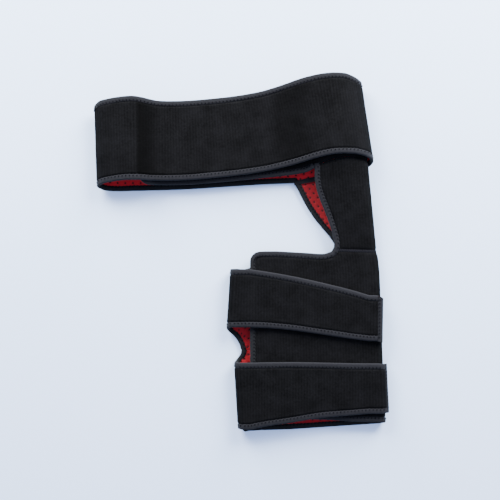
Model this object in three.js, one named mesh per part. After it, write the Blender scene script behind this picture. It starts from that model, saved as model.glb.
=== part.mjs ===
// A hip and thigh compression wrap, lying flat: a waist belt closed on itself, a hip panel, and a thigh
// sleeve with two straps. Millimetres, +Z up. The wearer's up is +Y, and the part rests on its back layer.
import * as THREE from "three";

// Layers of the padded cloth
const SHELL = 2.4;
const SHELL_AT_EDGE = 1.0;
const LINING = 1.0;
const TAPE = 1.0;
const TAPE_REACH = 8.5;
const TAPER = 3.0;
const CLEARANCE = 0.3;
const HOOK_THICKNESS = 1.1;
const SEAM_TAPE_WIDTH = 6.0;

// Waist belt
const BELT_SPAN = 395;
const BELT_WIDTH = 115;
const BELT_OVERHANG = 223.5;
const HIP_RISE = 145;
const LOFT = 16;
const HOOK_LENGTH = 45;

// Thigh sleeve
const THIGH_SPAN = 200;
const THIGH_LENGTH = 267;
const OPENING = 5.0;
const CORNER_RADIUS = 14;
const ROOT_SEAM = 18;

// Hip panel: how far its free edges bow, as a share of this length
const HIP_BOW = 117;

// Heights of the middle surface, between shell and lining, of each layer
const OUTER_FACE = CLEARANCE / 2 + SHELL;
const TAPED_FACE = CLEARANCE / 2 + SHELL_AT_EDGE + CLEARANCE + TAPE;
const LINED_FACE = CLEARANCE / 2 + LINING;
const RIM = CLEARANCE + TAPE;
const STACK = OUTER_FACE + TAPED_FACE + CLEARANCE;
const BACK_LAYER = OUTER_FACE;
const FRONT_LAYER = BACK_LAYER + 2 * TAPED_FACE + OPENING;
const OVER_LAYER = FRONT_LAYER + STACK + CLEARANCE;
const FOLD_STEPS = 10;

// The belt's centre line, from its inner end to its hidden tail. along: share of BELT_SPAN from the left
// turn; rise: share of BELT_WIDTH over the back layer; turn: lean of the section in degrees; lift: share of
// LOFT over the layer; layer: 0 back, 1 back over the tail, 2 front, 3 over the front; steps: sections to
// the next row.
const BELT = [
  { along: 0.148, rise: 0.078, turn: 2, lift: 0.75, layer: 2, steps: 1 },
  { along: 0.172, rise: 0.077, turn: 2, lift: 0.53, layer: 2, steps: 1 },
  { along: 0.197, rise: 0.075, turn: 1, lift: 0.24, layer: 2, steps: 1 },
  { along: 0.222, rise: 0.074, turn: 1, lift: 0.07, layer: 2, steps: 1 },
  { along: 0.255, rise: 0.074, turn: 1, lift: 0.0, layer: 2, steps: 1 },
  { along: 0.343, rise: 0.082, turn: 2, lift: 0.0, layer: 2, steps: 1 },
  { along: 0.49, rise: 0.124, turn: 4, lift: 0.0, layer: 2, steps: 1 },
  { along: 0.606, rise: 0.164, turn: 6, lift: 0.02, layer: 2, steps: 1 },
  { along: 0.72, rise: 0.209, turn: 8, lift: 0.16, layer: 2, steps: 1 },
  { along: 0.756, rise: 0.233, turn: 9, lift: 0.28, layer: 2, steps: 1 },
  { along: 0.784, rise: 0.283, turn: 9, lift: 0.45, layer: 2, steps: 1, mark: "hipFront" },
  { along: 0.806, rise: 0.335, turn: 9, lift: 0.57, layer: 2, steps: 1 },
  { along: 0.836, rise: 0.375, turn: 9, lift: 0.69, layer: 2, steps: 1 },
  { along: 0.872, rise: 0.405, turn: 8, lift: 0.8, layer: 2, steps: 1 },
  { along: 0.908, rise: 0.425, turn: 8, lift: 0.82, layer: 2, steps: 1 },
  { along: 0.94, rise: 0.42, turn: 8, lift: 0.66, layer: 2, steps: 2, mark: "foldStart" },
  { along: 0.967, rise: 0.395, turn: 9, lift: 0.44, layer: 2, steps: 3 },
  { along: 0.98, rise: 0.366, turn: 9, lift: 0.11, layer: 2, steps: 3 },
  { along: 0.971, rise: 0.335, turn: 9, lift: 0.12, layer: 1, steps: 2 },
  { along: 0.944, rise: 0.29, turn: 9, lift: 0.0, layer: 1, steps: 1, mark: "foldEnd" },
  { along: 0.88, rise: 0.23, turn: 8, lift: 0.0, layer: 1, steps: 1 },
  { along: 0.814, rise: 0.17, turn: 7, lift: 0.0, layer: 1, steps: 1 },
  { along: 0.77, rise: 0.138, turn: 6, lift: 0.2, layer: 0, steps: 1 },
  { along: 0.72, rise: 0.107, turn: 5, lift: 0.03, layer: 0, steps: 1, mark: "hipBack" },
  { along: 0.68, rise: 0.1, turn: 4, lift: 0.0, layer: 0, steps: 1 },
  { along: 0.606, rise: 0.09, turn: 4, lift: 0.0, layer: 0, steps: 1 },
  { along: 0.452, rise: 0.056, turn: 3, lift: 0.0, layer: 0, steps: 1 },
  { along: 0.3, rise: 0.024, turn: 2, lift: 0.0, layer: 0, steps: 1 },
  { along: 0.13, rise: 0.008, turn: 2, lift: 0.0, layer: 0, steps: 1 },
  { along: 0.058, rise: 0.003, turn: 2, lift: 0.0, layer: 0, steps: 1 },
  { along: 0.018, rise: 0.012, turn: 2, lift: 0.17, layer: 0, steps: 2 },
  { along: 0.0, rise: 0.048, turn: 2, lift: 0.62, layer: 0, steps: 3 },
  { along: 0.018, rise: 0.09, turn: 2, lift: 0.11, layer: 3, steps: 2 },
  { along: 0.052, rise: 0.118, turn: 2, lift: 0.42, layer: 3, steps: 1 },
  { along: 0.09, rise: 0.14, turn: 2, lift: 0.62, layer: 3, steps: 1 },
  { along: 0.135, rise: 0.152, turn: 1, lift: 0.8, layer: 3, steps: 1 },
  { along: 0.165, rise: 0.148, turn: 0, lift: 0.68, layer: 3, steps: 1 },
  { along: 0.192, rise: 0.141, turn: 0, lift: 0.35, layer: 3, steps: 1 },
  { along: 0.217, rise: 0.137, turn: 0, lift: 0.12, layer: 3, steps: 1 },
  { along: 0.255, rise: 0.135, turn: 1, lift: 0.0, layer: 3, steps: 1 },
  { along: 0.343, rise: 0.144, turn: 2, lift: 0.0, layer: 3, steps: 2 },
  { along: 0.49, rise: 0.191, turn: 5, lift: 0.01, layer: 3, steps: 1 },
  { along: 0.566, rise: 0.224, turn: 8, lift: 0.04, layer: 3, steps: 1 },
  { along: 0.64, rise: 0.269, turn: 10, lift: 0.15, layer: 3, steps: 1 },
  { along: 0.714, rise: 0.331, turn: 12, lift: 0.43, layer: 3, steps: 1 },
  { along: 0.787, rise: 0.403, turn: 12, lift: 0.76, layer: 3, steps: 1 },
  { along: 0.846, rise: 0.445, turn: 10, lift: 0.94, layer: 3, steps: 1 },
  { along: 0.89, rise: 0.458, turn: 8, lift: 0.97, layer: 3, steps: 1 },
  { along: 0.935, rise: 0.455, turn: 8, lift: 0.8, layer: 3, steps: 1 },
  { along: 0.968, rise: 0.439, turn: 9, lift: 0.5, layer: 3, steps: 2 },
  { along: 0.991, rise: 0.42, turn: 9, lift: 0.1, layer: 3, steps: 2 },
  { along: 1.002, rise: 0.4, turn: 9, lift: 0.56, layer: 0, steps: 2 },
  { along: 0.994, rise: 0.38, turn: 8, lift: 0.13, layer: 0, steps: 2 },
  { along: 0.97, rise: 0.365, turn: 7, lift: 0.0, layer: 0, steps: 1 },
  { along: 0.9, rise: 0.36, turn: 5, lift: 0.0, layer: 0, steps: 1 },
  { along: 0.835, rise: 0.357, turn: 4, lift: 0.0, layer: 0, steps: 1 },
];
const LAYER_HEIGHTS = [BACK_LAYER, BACK_LAYER + STACK, FRONT_LAYER, OVER_LAYER];

// How far the hip panel's free edges bow from a straight line. down: share of the panel's height; front,
// back: shares of HIP_BOW.
const HIP_EDGE = [
  { down: 0.0, front: 0.0, back: 0.0 },
  { down: 0.1, front: -0.02, back: 0.0 },
  { down: 0.22, front: -0.03, back: -0.005 },
  { down: 0.36, front: -0.017, back: -0.005 },
  { down: 0.5, front: 0.012, back: 0.01 },
  { down: 0.65, front: 0.04, back: 0.045 },
  { down: 0.78, front: 0.053, back: 0.08 },
  { down: 0.88, front: 0.055, back: 0.086 },
  { down: 0.95, front: 0.04, back: 0.065 },
  { down: 1.0, front: 0.0, back: 0.0 },
];

// The thigh panel's outside fold. down: share of THIGH_LENGTH; fold: share of THIGH_SPAN.
const THIGH_FOLD = [
  { down: 0.0, fold: 0.94 },
  { down: 0.05, fold: 0.955 },
  { down: 0.12, fold: 0.965 },
  { down: 0.35, fold: 0.977 },
  { down: 0.65, fold: 0.992 },
  { down: 1.0, fold: 1.015 },
];

// The thigh panel's upper and lower edges. along: share of THIGH_SPAN; down: shares of THIGH_LENGTH.
const FRONT_TOP = [
  { along: 0.0, down: 0.012 },
  { along: 0.5, down: 0.012 },
  { along: 0.58, down: 0.005 },
  { along: 0.61, down: -0.006 },
  { along: 1.0, down: 0.01 },
];
const BACK_TOP = [
  { along: 0.0, down: 0.09 },
  { along: 0.09, down: 0.047 },
  { along: 0.16, down: 0.029 },
  { along: 0.25, down: 0.024 },
  { along: 0.5, down: 0.023 },
  { along: 0.585, down: 0.017 },
  { along: 0.62, down: 0.006 },
  { along: 1.0, down: 0.01 },
];
const FRONT_BOTTOM = [
  { along: 0.0, down: 0.945 },
  { along: 0.25, down: 0.941 },
  { along: 0.42, down: 0.94 },
  { along: 0.6, down: 0.945 },
  { along: 0.75, down: 0.953 },
  { along: 1.0, down: 0.957 },
];
const BACK_BOTTOM = [
  { along: 0.0, down: 1.012 },
  { along: 0.3, down: 1.005 },
  { along: 0.6, down: 0.99 },
  { along: 1.0, down: 0.97 },
];
const HIP_CORNER = { front: 0.605, back: 0.615 };

// The straps. along: share of THIGH_SPAN, to the right of the front's free edge; top, bottom: shares of
// THIGH_LENGTH. root rows lie on the back, from the hidden seam to the left fold; joint names the side where
// both straps meet, and notch the side that borders the notch. fold is the fold's outline, and its pace says
// how soon the edges reach their place on top; over rows cross the front; end turns down the right fold by
// wrap degrees, with its extra reach.
const UPPER_STRAP = {
  root: [
    { topAlong: 0.09, bottomAlong: 0.09, top: 0.047, bottom: 0.5618, joint: "bottom" },
    { topAlong: 0.045, bottomAlong: 0.0, top: 0.076, bottom: 0.5618, joint: "bottom" },
    { topAlong: 0.0, bottomAlong: -0.062, top: 0.099, bottom: 0.5612, notch: "bottom" },
    { topAlong: -0.025, bottomAlong: -0.073, top: 0.106, bottom: 0.53, notch: "bottom" },
    { topAlong: -0.06, bottomAlong: -0.09, top: 0.108, bottom: 0.504, notch: "bottom" },
  ],
  fold: { topAlong: -0.148, bottomAlong: -0.176, top: 0.1, bottom: 0.478, pace: 0.5 },
  over: [
    { along: 0.0, top: 0.106, bottom: 0.428 },
    { along: 0.15, top: 0.123, bottom: 0.433 },
    { along: 0.3, top: 0.143, bottom: 0.443 },
    { along: 0.5, top: 0.175, bottom: 0.464 },
    { along: 0.75, top: 0.217, bottom: 0.492 },
    { along: 0.88, top: 0.239, bottom: 0.504 },
  ],
  end: { top: 0.256, bottom: 0.512, topReach: 0.017, bottomReach: 0.0 },
  wrap: 35,
};
const LOWER_STRAP = {
  root: [
    { topAlong: 0.09, bottomAlong: 0.09, top: 0.5618, bottom: 1.0092, joint: "top" },
    { topAlong: 0.02, bottomAlong: 0.04, top: 0.5618, bottom: 1.012, joint: "top" },
    { topAlong: -0.061, bottomAlong: 0.0, top: 0.5624, bottom: 1.012, notch: "top" },
  ],
  fold: { topAlong: -0.115, bottomAlong: -0.09, top: 0.573, bottom: 1.01, pace: 1.0 },
  over: [
    { along: 0.0, top: 0.623, bottom: 0.983 },
    { along: 0.13, top: 0.621, bottom: 0.961 },
    { along: 0.3, top: 0.62, bottom: 0.949 },
    { along: 0.5, top: 0.622, bottom: 0.931 },
    { along: 0.75, top: 0.626, bottom: 0.914 },
    { along: 0.88, top: 0.627, bottom: 0.906 },
  ],
  end: { top: 0.635, bottom: 0.901, topReach: 0.0, bottomReach: 0.0 },
  wrap: 75,
};

// Colours
const BLACK_LOOP = new THREE.MeshStandardMaterial({ color: 0x202126, roughness: 0.95, metalness: 0 });
const RED_MESH = new THREE.MeshStandardMaterial({ color: 0xa91c28, roughness: 0.9, metalness: 0 });
const GREY_TAPE = new THREE.MeshStandardMaterial({ color: 0x404249, roughness: 0.85, metalness: 0 });
const BLACK_HOOK = new THREE.MeshStandardMaterial({ color: 0x17171a, roughness: 0.6, metalness: 0 });

const wrap = new THREE.Group();

// Interpolates a table's column at a place given by another column.
function column(rows, key, place, name) {
  const last = rows.length - 1;
  let i = 0;
  while (i < last - 1 && rows[i + 1][key] < place) i++;
  const share = (place - rows[i][key]) / (rows[i + 1][key] - rows[i][key]);
  return THREE.MathUtils.lerp(rows[i][name], rows[i + 1][name], THREE.MathUtils.clamp(share, 0, 1));
}

const mix = (a, b, share) => a.clone().lerp(b, share);

// Adds a closed body made of rings of points, each ring joined to the next, with both ends capped: caps
// lists triangles of ring indices.
function addRings(name, material, rings, caps) {
  const size = rings[0].length;
  const points = rings.flat();
  const faces = [];
  for (let k = 0; k + 1 < rings.length; k++) {
    for (let i = 0; i < size; i++) {
      const j = (i + 1) % size;
      const [a, b, c, d] = [k * size + i, k * size + j, (k + 1) * size + j, (k + 1) * size + i];
      faces.push([a, b, c], [a, c, d]);
    }
  }
  const end = (rings.length - 1) * size;
  for (const [a, b, c] of caps) {
    faces.push([a, c, b], [end + a, end + b, end + c]);
  }
  addFaces(name, material, points, faces);
}

// Adds a mesh with its faces turned outwards.
function addFaces(name, material, points, faces) {
  let volume = 0;
  for (const [a, b, c] of faces) {
    volume += points[a].dot(new THREE.Vector3().crossVectors(points[b], points[c]));
  }
  const turned = volume < 0 ? faces.map(([a, b, c]) => [a, c, b]) : faces;
  const geometry = new THREE.BufferGeometry().setFromPoints(points);
  geometry.setIndex(turned.flat());
  geometry.computeVertexNormals();
  const mesh = new THREE.Mesh(geometry, material);
  mesh.name = name;
  wrap.add(mesh);
}

// The end of a folded section, whose ring runs along its outer side and back along its inner side.
function foldedCap(size) {
  return Array.from({ length: size / 2 - 1 }, (_, i) => [
    [i, i + 1, size - 2 - i],
    [i, size - 2 - i, size - 1 - i],
  ]).flat();
}

// Gives each station of a strip its direction of travel and across, its outward normal, and how far the
// cloth's own edges lie inside the finished outline.
function framed(stations) {
  return stations.map((s, k) => {
    const before = stations[Math.max(k - 1, 0)];
    const after = stations[Math.min(k + 1, stations.length - 1)];
    const travel = middle(after).sub(middle(before)).normalize();
    const across = s.bottom.clone().sub(s.top).normalize();
    const normal = new THREE.Vector3().crossVectors(across, travel).normalize();
    const topRim = across.clone().multiplyScalar(s.topSewn ? CLEARANCE / 2 : RIM);
    const bottomRim = across.clone().multiplyScalar(s.bottomSewn ? -CLEARANCE / 2 : -RIM);
    return { ...s, travel, across, normal, topRim, bottomRim };
  });
}

const middle = (station) => mix(station.top, station.bottom, 0.5);

function places(stations) {
  let passed = 0;
  return stations.map((s, k) => {
    if (k > 0) passed += middle(stations[k - 1]).distanceTo(middle(s));
    return passed;
  });
}

// The station at a distance along the strip's centre line.
function stationAt(stations, distance) {
  const at = places(stations);
  let k = 0;
  while (k < stations.length - 2 && at[k + 1] < distance) k++;
  const share = (distance - at[k]) / (at[k + 1] - at[k]);
  const between = (name) => mix(stations[k][name], stations[k + 1][name], share);
  return {
    place: distance,
    top: between("top"),
    bottom: between("bottom"),
    topRim: between("topRim"),
    bottomRim: between("bottomRim"),
    across: between("across").normalize(),
    normal: between("normal").normalize(),
    travel: between("travel").normalize(),
  };
}

// The strip between two distances, with extra stations where asked.
function stretch(stations, from, to, extra = []) {
  const chosen = [from, to, ...extra];
  const apart = (x) => chosen.every((c) => Math.abs(c - x) > CLEARANCE);
  const kept = places(stations).filter((x) => x > from && x < to && apart(x));
  return [...chosen, ...kept].sort((a, b) => a - b).map((x) => stationAt(stations, x));
}

// A point of a strip: share across, millimetres further across, and height over the middle surface.
function pointOf(station, share, more, height) {
  return mix(station.top, station.bottom, share)
    .addScaledVector(station.across, more)
    .addScaledVector(station.normal, height);
}

// A strip's shell and lining. The shell thins under the tapes along its edges and over thinStart and thinEnd
// at its ends; a bound end leaves room for the tape's fold.
function addLaminate(name, strip, { thinStart, thinEnd, startBound, endBound }) {
  const length = places(strip).at(-1);
  const [from, to] = [startBound ? RIM : 0, length - (endBound ? RIM : 0)];
  const marks = [thinStart, thinStart + TAPER, length - thinEnd - TAPER, length - thinEnd];
  const stations = stretch(strip, from, to, marks.filter((x) => x > from + RIM && x < to - RIM));
  const inner = CLEARANCE / 2;
  const thin = inner + SHELL_AT_EDGE;
  const edges = (s, low, high) => [
    s.top.clone().add(s.topRim).addScaledVector(s.normal, low),
    s.bottom.clone().add(s.bottomRim).addScaledVector(s.normal, low),
    s.bottom.clone().add(s.bottomRim).addScaledVector(s.normal, high),
    s.top.clone().add(s.topRim).addScaledVector(s.normal, high),
  ];
  const shellRings = stations.map((s) => {
    const inside = Math.min(s.place - thinStart, length - thinEnd - s.place) / TAPER;
    const full = inner + THREE.MathUtils.lerp(SHELL_AT_EDGE, SHELL, THREE.MathUtils.clamp(inside, 0, 1));
    const [topLow, bottomLow, bottomHigh, topHigh] = edges(s, inner, thin);
    return [
      topLow,
      bottomLow,
      bottomHigh,
      pointOf(s, 1, -TAPE_REACH, thin),
      pointOf(s, 1, -TAPE_REACH - TAPER, full),
      pointOf(s, 0, TAPE_REACH + TAPER, full),
      pointOf(s, 0, TAPE_REACH, thin),
      topHigh,
    ];
  });
  const shellCap = [[1, 2, 3], [1, 3, 4], [1, 4, 5], [0, 1, 5], [0, 5, 6], [0, 6, 7]];
  addRings(name, BLACK_LOOP, shellRings, shellCap);
  const liningRings = stations.map((s) => edges(s, -inner, -inner - LINING));
  addRings(name + "_lining", RED_MESH, liningRings, [[0, 1, 2], [0, 2, 3]]);
}

// The folded tape's section: distance in from the edge, and height over the middle surface.
const TAPE_SECTION = [
  [TAPE_REACH, TAPED_FACE],
  [0, TAPED_FACE],
  [0, -TAPED_FACE],
  [TAPE_REACH, -TAPED_FACE],
  [TAPE_REACH, TAPE - TAPED_FACE],
  [TAPE, TAPE - TAPED_FACE],
  [TAPE, TAPED_FACE - TAPE],
  [TAPE_REACH, TAPED_FACE - TAPE],
];

// Tape folded over an edge, which is a list of places, each with the direction inwards and the normal.
function addBinding(name, edge) {
  const rings = edge.map(({ place, inwards, normal }) =>
    TAPE_SECTION.map(([reach, height]) =>
      place.clone().addScaledVector(inwards, reach).addScaledVector(normal, height),
    ),
  );
  addRings(name, GREY_TAPE, rings, foldedCap(TAPE_SECTION.length));
}

const topEdge = (stations) =>
  stations.map((s) => ({ place: s.top, inwards: s.across, normal: s.normal }));
const bottomEdge = (stations) =>
  stations.map((s) => ({ place: s.bottom, inwards: s.across.clone().negate(), normal: s.normal }));

// An edge whose inward direction is square to it. side is 1 or -1, the side of travel with the cloth.
function squareEdge(points, normals, side) {
  return points.map((place, k) => {
    const travel = points[Math.min(k + 1, points.length - 1)].clone().sub(points[Math.max(k - 1, 0)]);
    const inwards = new THREE.Vector3().crossVectors(normals[k], travel).normalize().multiplyScalar(side);
    return { place, inwards, normal: normals[k] };
  });
}

// Tape folded over the end of a strip, from its top to its bottom edge.
function addEndBinding(name, strip, atEnd) {
  const length = places(strip).at(-1);
  const at = (distance) => stationAt(strip, atEnd ? length - distance : distance);
  const reach = [TAPE_REACH, TAPE_REACH / 2, TAPE].map(at);
  const outer = [reach[0], reach[1], at(0)];
  const inside = TAPED_FACE - TAPE;
  const ring = (share) => [
    ...outer.map((s) => pointOf(s, share, 0, TAPED_FACE)),
    ...outer.toReversed().map((s) => pointOf(s, share, 0, -TAPED_FACE)),
    ...reach.map((s) => pointOf(s, share, 0, -inside)),
    ...reach.toReversed().map((s) => pointOf(s, share, 0, inside)),
  ];
  addRings(name, GREY_TAPE, [ring(0), ring(0.5), ring(1)], foldedCap(4 * reach.length));
}

// A hook patch on the lining's side of a strip, between its bindings.
function addPatch(name, strip, from, to) {
  const near = -(LINED_FACE + CLEARANCE);
  const far = near - HOOK_THICKNESS;
  const margin = TAPE_REACH + 3 * CLEARANCE;
  const rings = stretch(strip, from, to).map((s) => [
    pointOf(s, 0, margin, near),
    pointOf(s, 0, margin, far),
    pointOf(s, 1, -margin, far),
    pointOf(s, 1, -margin, near),
  ]);
  addRings(name, BLACK_HOOK, rings, [[0, 1, 2], [0, 2, 3]]);
}

// Waist belt
function beltStrip() {
  const marks = {};
  const centres = BELT.map(
    (row) =>
      new THREE.Vector3(
        row.along * BELT_SPAN - BELT_OVERHANG,
        HIP_RISE + row.rise * BELT_WIDTH,
        LAYER_HEIGHTS[row.layer] + row.lift * LOFT,
      ),
  );
  const line = new THREE.CatmullRomCurve3(centres);
  const list = [];
  BELT.forEach((row, k) => {
    if (row.mark) marks[row.mark] = list.length;
    const next = BELT[Math.min(k + 1, BELT.length - 1)];
    for (let i = 0; i < row.steps; i++) {
      const centre = line.getPoint((k + i / row.steps) / (BELT.length - 1));
      centre.z = Math.max(centre.z, BACK_LAYER);
      const angle = THREE.MathUtils.degToRad(THREE.MathUtils.lerp(row.turn, next.turn, i / row.steps));
      const half = new THREE.Vector3(-Math.sin(angle), Math.cos(angle), 0).multiplyScalar(BELT_WIDTH / 2);
      list.push({ top: centre.clone().add(half), bottom: centre.clone().sub(half) });
    }
  });
  for (let k = marks.hipFront + 1; k < marks.hipBack; k++) list[k].bottomSewn = true;
  return { stations: framed(list), marks };
}

const { stations: belt, marks } = beltStrip();
const beltPlaces = places(belt);
const beltLength = beltPlaces.at(-1);
const pastTape = TAPE_REACH + CLEARANCE;

addLaminate("waist_belt", belt, {
  thinStart: TAPE_REACH,
  thinEnd: TAPE_REACH,
  startBound: true,
  endBound: true,
});
addBinding("belt_upper_binding", topEdge(stretch(belt, pastTape, beltLength - pastTape)));
addBinding(
  "belt_inner_lower_binding",
  bottomEdge(stretch(belt, pastTape, beltPlaces[marks.hipFront] - CLEARANCE)),
);
addBinding(
  "belt_lower_binding",
  bottomEdge(stretch(belt, beltPlaces[marks.hipBack] + CLEARANCE, beltLength - pastTape)),
);
addEndBinding("belt_inner_end_binding", belt, false);
addEndBinding("belt_tail_end_binding", belt, true);
addPatch("belt_hook_tape", belt, beltLength - pastTape - HOOK_LENGTH, beltLength - pastTape);

// A grid of points, columns along the strip and rows down it, becomes a shell and a lining.
function addPanel(name, grid, thickness) {
  const normals = gridNormals(grid);
  const sheet = (offset) =>
    grid.map((line, k) => line.map((p, i) => p.clone().addScaledVector(normals[k][i], offset(k, i))));
  const inner = CLEARANCE / 2;
  addSlab(name, BLACK_LOOP, sheet(() => inner), sheet((k, i) => inner + thickness(k, i)));
  addSlab(name + "_lining", RED_MESH, sheet(() => -inner - LINING), sheet(() => -inner));
}

function gridNormals(grid) {
  const [lastColumn, lastRow] = [grid.length - 1, grid[0].length - 1];
  return grid.map((line, k) =>
    line.map((_, i) => {
      const travel = grid[Math.min(k + 1, lastColumn)][i].clone().sub(grid[Math.max(k - 1, 0)][i]);
      const across = line[Math.min(i + 1, lastRow)].clone().sub(line[Math.max(i - 1, 0)]);
      return new THREE.Vector3().crossVectors(across, travel).normalize();
    }),
  );
}

function addSlab(name, material, under, over) {
  const [columns, rows] = [under.length, under[0].length];
  const points = [...under.flat(), ...over.flat()];
  const low = (k, i) => k * rows + i;
  const high = (k, i) => columns * rows + k * rows + i;
  const faces = [];
  const quad = (a, b, c, d) => faces.push([a, b, c], [a, c, d]);
  for (let k = 0; k + 1 < columns; k++) {
    for (let i = 0; i + 1 < rows; i++) {
      quad(low(k, i), low(k + 1, i), low(k + 1, i + 1), low(k, i + 1));
      quad(high(k, i), high(k, i + 1), high(k + 1, i + 1), high(k + 1, i));
    }
    quad(low(k, 0), high(k, 0), high(k + 1, 0), low(k + 1, 0));
    quad(low(k, rows - 1), low(k + 1, rows - 1), high(k + 1, rows - 1), high(k, rows - 1));
  }
  for (let i = 0; i + 1 < rows; i++) {
    quad(low(0, i), low(0, i + 1), high(0, i + 1), high(0, i));
    quad(low(columns - 1, i), high(columns - 1, i), high(columns - 1, i + 1), low(columns - 1, i + 1));
  }
  addFaces(name, material, points, faces);
}

// Thigh sleeve. Columns run from the front's free edge, round the right fold, to the seam on the back.
const FOLD_RADIUS = (FRONT_LAYER - BACK_LAYER) / 2;
const FOLD_HEIGHT = (FRONT_LAYER + BACK_LAYER) / 2;
const FOLD_INSET = OUTER_FACE + FOLD_RADIUS;
const foldCentre = (down) => column(THIGH_FOLD, "down", down, "fold") * THIGH_SPAN - FOLD_INSET;
const FRONT = {
  height: FRONT_LAYER,
  corner: HIP_CORNER.front * THIGH_SPAN,
  top: (x) => column(FRONT_TOP, "along", x / THIGH_SPAN, "down") * THIGH_LENGTH,
  bottom: (x) => column(FRONT_BOTTOM, "along", x / THIGH_SPAN, "down") * THIGH_LENGTH,
};
const BACK = {
  height: BACK_LAYER,
  corner: HIP_CORNER.back * THIGH_SPAN,
  top: (x) => column(BACK_TOP, "along", x / THIGH_SPAN, "down") * THIGH_LENGTH,
  bottom: (x) => column(BACK_BOTTOM, "along", x / THIGH_SPAN, "down") * THIGH_LENGTH,
};
const FREE_SHARES = [0.3, 0.6, 0.83, 0.96];
const SEAM_SHARES = [0, 0.16, 0.22, 0.6];
const ROOT_SHARES = [0.05, 0.14, 0.5, 1];
const BOUND_COLUMNS = 3 + FREE_SHARES.length;
// The upper edges lean near the hip panel, so their lane is a little wider than the tape.
const TOP_LANE = 1.2 * TAPE_REACH;

// How far the cloth's left edge lies in at a distance below the rounded corner's top.
function cornerInset(below, rim) {
  const gap = Math.max(CORNER_RADIUS - below, 0);
  return CORNER_RADIUS - Math.sqrt((CORNER_RADIUS - rim) ** 2 - gap ** 2);
}

// The round stretch of a fold between two flat layers, from its front line to its back line.
function foldPoints(x, frontDown, backDown) {
  return Array.from({ length: FOLD_STEPS + 1 }, (_, k) => {
    const angle = (Math.PI * k) / FOLD_STEPS;
    const down = THREE.MathUtils.lerp(frontDown, backDown, k / FOLD_STEPS);
    return new THREE.Vector3(
      x + FOLD_RADIUS * Math.sin(angle),
      -down,
      FOLD_HEIGHT + FOLD_RADIUS * Math.cos(angle),
    );
  });
}

// One row of the sleeve. drop gives its distance down from a column's top and bottom, and whether its top
// is bound.
function thighRow(drop, rim) {
  const at = (side, x, bound) =>
    new THREE.Vector3(x, -drop(side.top(x), side.bottom(x), bound), side.height);
  const below = drop(FRONT.top(0), FRONT.bottom(0), true) - FRONT.top(0);
  const inset = cornerInset(Math.max(below, rim), rim);
  const turn = foldCentre(drop(FRONT.top(THIGH_SPAN), FRONT.bottom(THIGH_SPAN), false) / THIGH_LENGTH);
  const lanes = [0, TAPE_REACH - rim, TAPE_REACH + TAPER - rim];
  const row = lanes.map((lane) => at(FRONT, inset + lane, true));
  FREE_SHARES.forEach((s) => row.push(at(FRONT, s * FRONT.corner, true)));
  SEAM_SHARES.forEach((s) => row.push(at(FRONT, THREE.MathUtils.lerp(FRONT.corner, turn, s), s === 0)));
  const [front, back] = [at(FRONT, turn, false), at(BACK, turn, false)];
  row.push(...foldPoints(turn, -front.y, -back.y));
  SEAM_SHARES.toReversed().forEach((s) =>
    row.push(at(BACK, THREE.MathUtils.lerp(BACK.corner, turn, s), s === 0)),
  );
  ROOT_SHARES.forEach((s) =>
    row.push(at(BACK, THREE.MathUtils.lerp(BACK.corner, ROOT_SEAM + CLEARANCE, s), true)),
  );
  return row;
}

const under = (distance) => (top) => top + distance;
const share = (part) => (top, bottom) => THREE.MathUtils.lerp(top, bottom, part);
const above = (distance) => (top, bottom) => bottom - distance;
const THIGH_ROWS = [
  (top, bottom, bound) => top + (bound ? RIM : CLEARANCE / 2),
  under(TOP_LANE / 2),
  under(TOP_LANE),
  under(TOP_LANE + TAPER),
  share(0.12),
  share(0.35),
  share(0.65),
  above(TAPE_REACH + TAPER),
  above(TAPE_REACH),
  above(RIM),
];
const TOP_THIN_ROWS = 3;
const BOTTOM_THIN_ROWS = 2;
const turned = (rows) => rows[0].map((_, k) => rows.map((row) => row[k]));
const thigh = turned(THIGH_ROWS.map((drop) => thighRow(drop, RIM)));
const lastSeamColumn = thigh.length - ROOT_SHARES.length - SEAM_SHARES.length;
addPanel("thigh_panel", thigh, (k, i) => {
  const freeEdge = k < 2 || (k === 2 && i <= TOP_THIN_ROWS);
  const nearFrontTop = i < TOP_THIN_ROWS && k <= BOUND_COLUMNS + 1;
  const nearBackTop = i < TOP_THIN_ROWS && k >= lastSeamColumn + 2;
  const nearBottom = i >= THIGH_ROWS.length - BOTTOM_THIN_ROWS;
  return freeEdge || nearFrontTop || nearBackTop || nearBottom || i === 0 ? SHELL_AT_EDGE : SHELL;
});
const thighNormals = gridNormals(thigh);
const thighHem = thighRow(above(0), 0).map((place, k) => ({
  place,
  inwards: thigh[k].at(-2).clone().sub(thigh[k].at(-1)).normalize(),
  normal: thighNormals[k].at(-1),
}));
addBinding("thigh_bottom_binding", thighHem);

// Hip panel: rows run from the belt's lower edge down to the sleeve's seam.
function alongLine(points, distance) {
  let passed = 0;
  for (let k = 0; k + 1 < points.length; k++) {
    const step = points[k].distanceTo(points[k + 1]);
    if (distance <= passed + step || k + 2 === points.length) {
      return mix(points[k], points[k + 1], (distance - passed) / step);
    }
    passed += step;
  }
}
const lineLength = (points) => points.reduce((sum, p, k) => sum + (k ? p.distanceTo(points[k - 1]) : 0), 0);

const seamOf = (from, to) => belt.slice(from, to + 1).map((s) => pointOf(s, 1, CLEARANCE, 0));
const frontSeam = seamOf(marks.hipFront, marks.foldStart);
const foldSeam = seamOf(marks.foldStart, marks.foldEnd);
const backSeam = seamOf(marks.foldEnd, marks.hipBack).toReversed();
const seamGap = CLEARANCE / 2;
const thighTop = (side, x) => new THREE.Vector3(x, -side.top(x) + seamGap, side.height);
const topTurn = foldCentre(FRONT.top(THIGH_SPAN) / THIGH_LENGTH);

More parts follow.
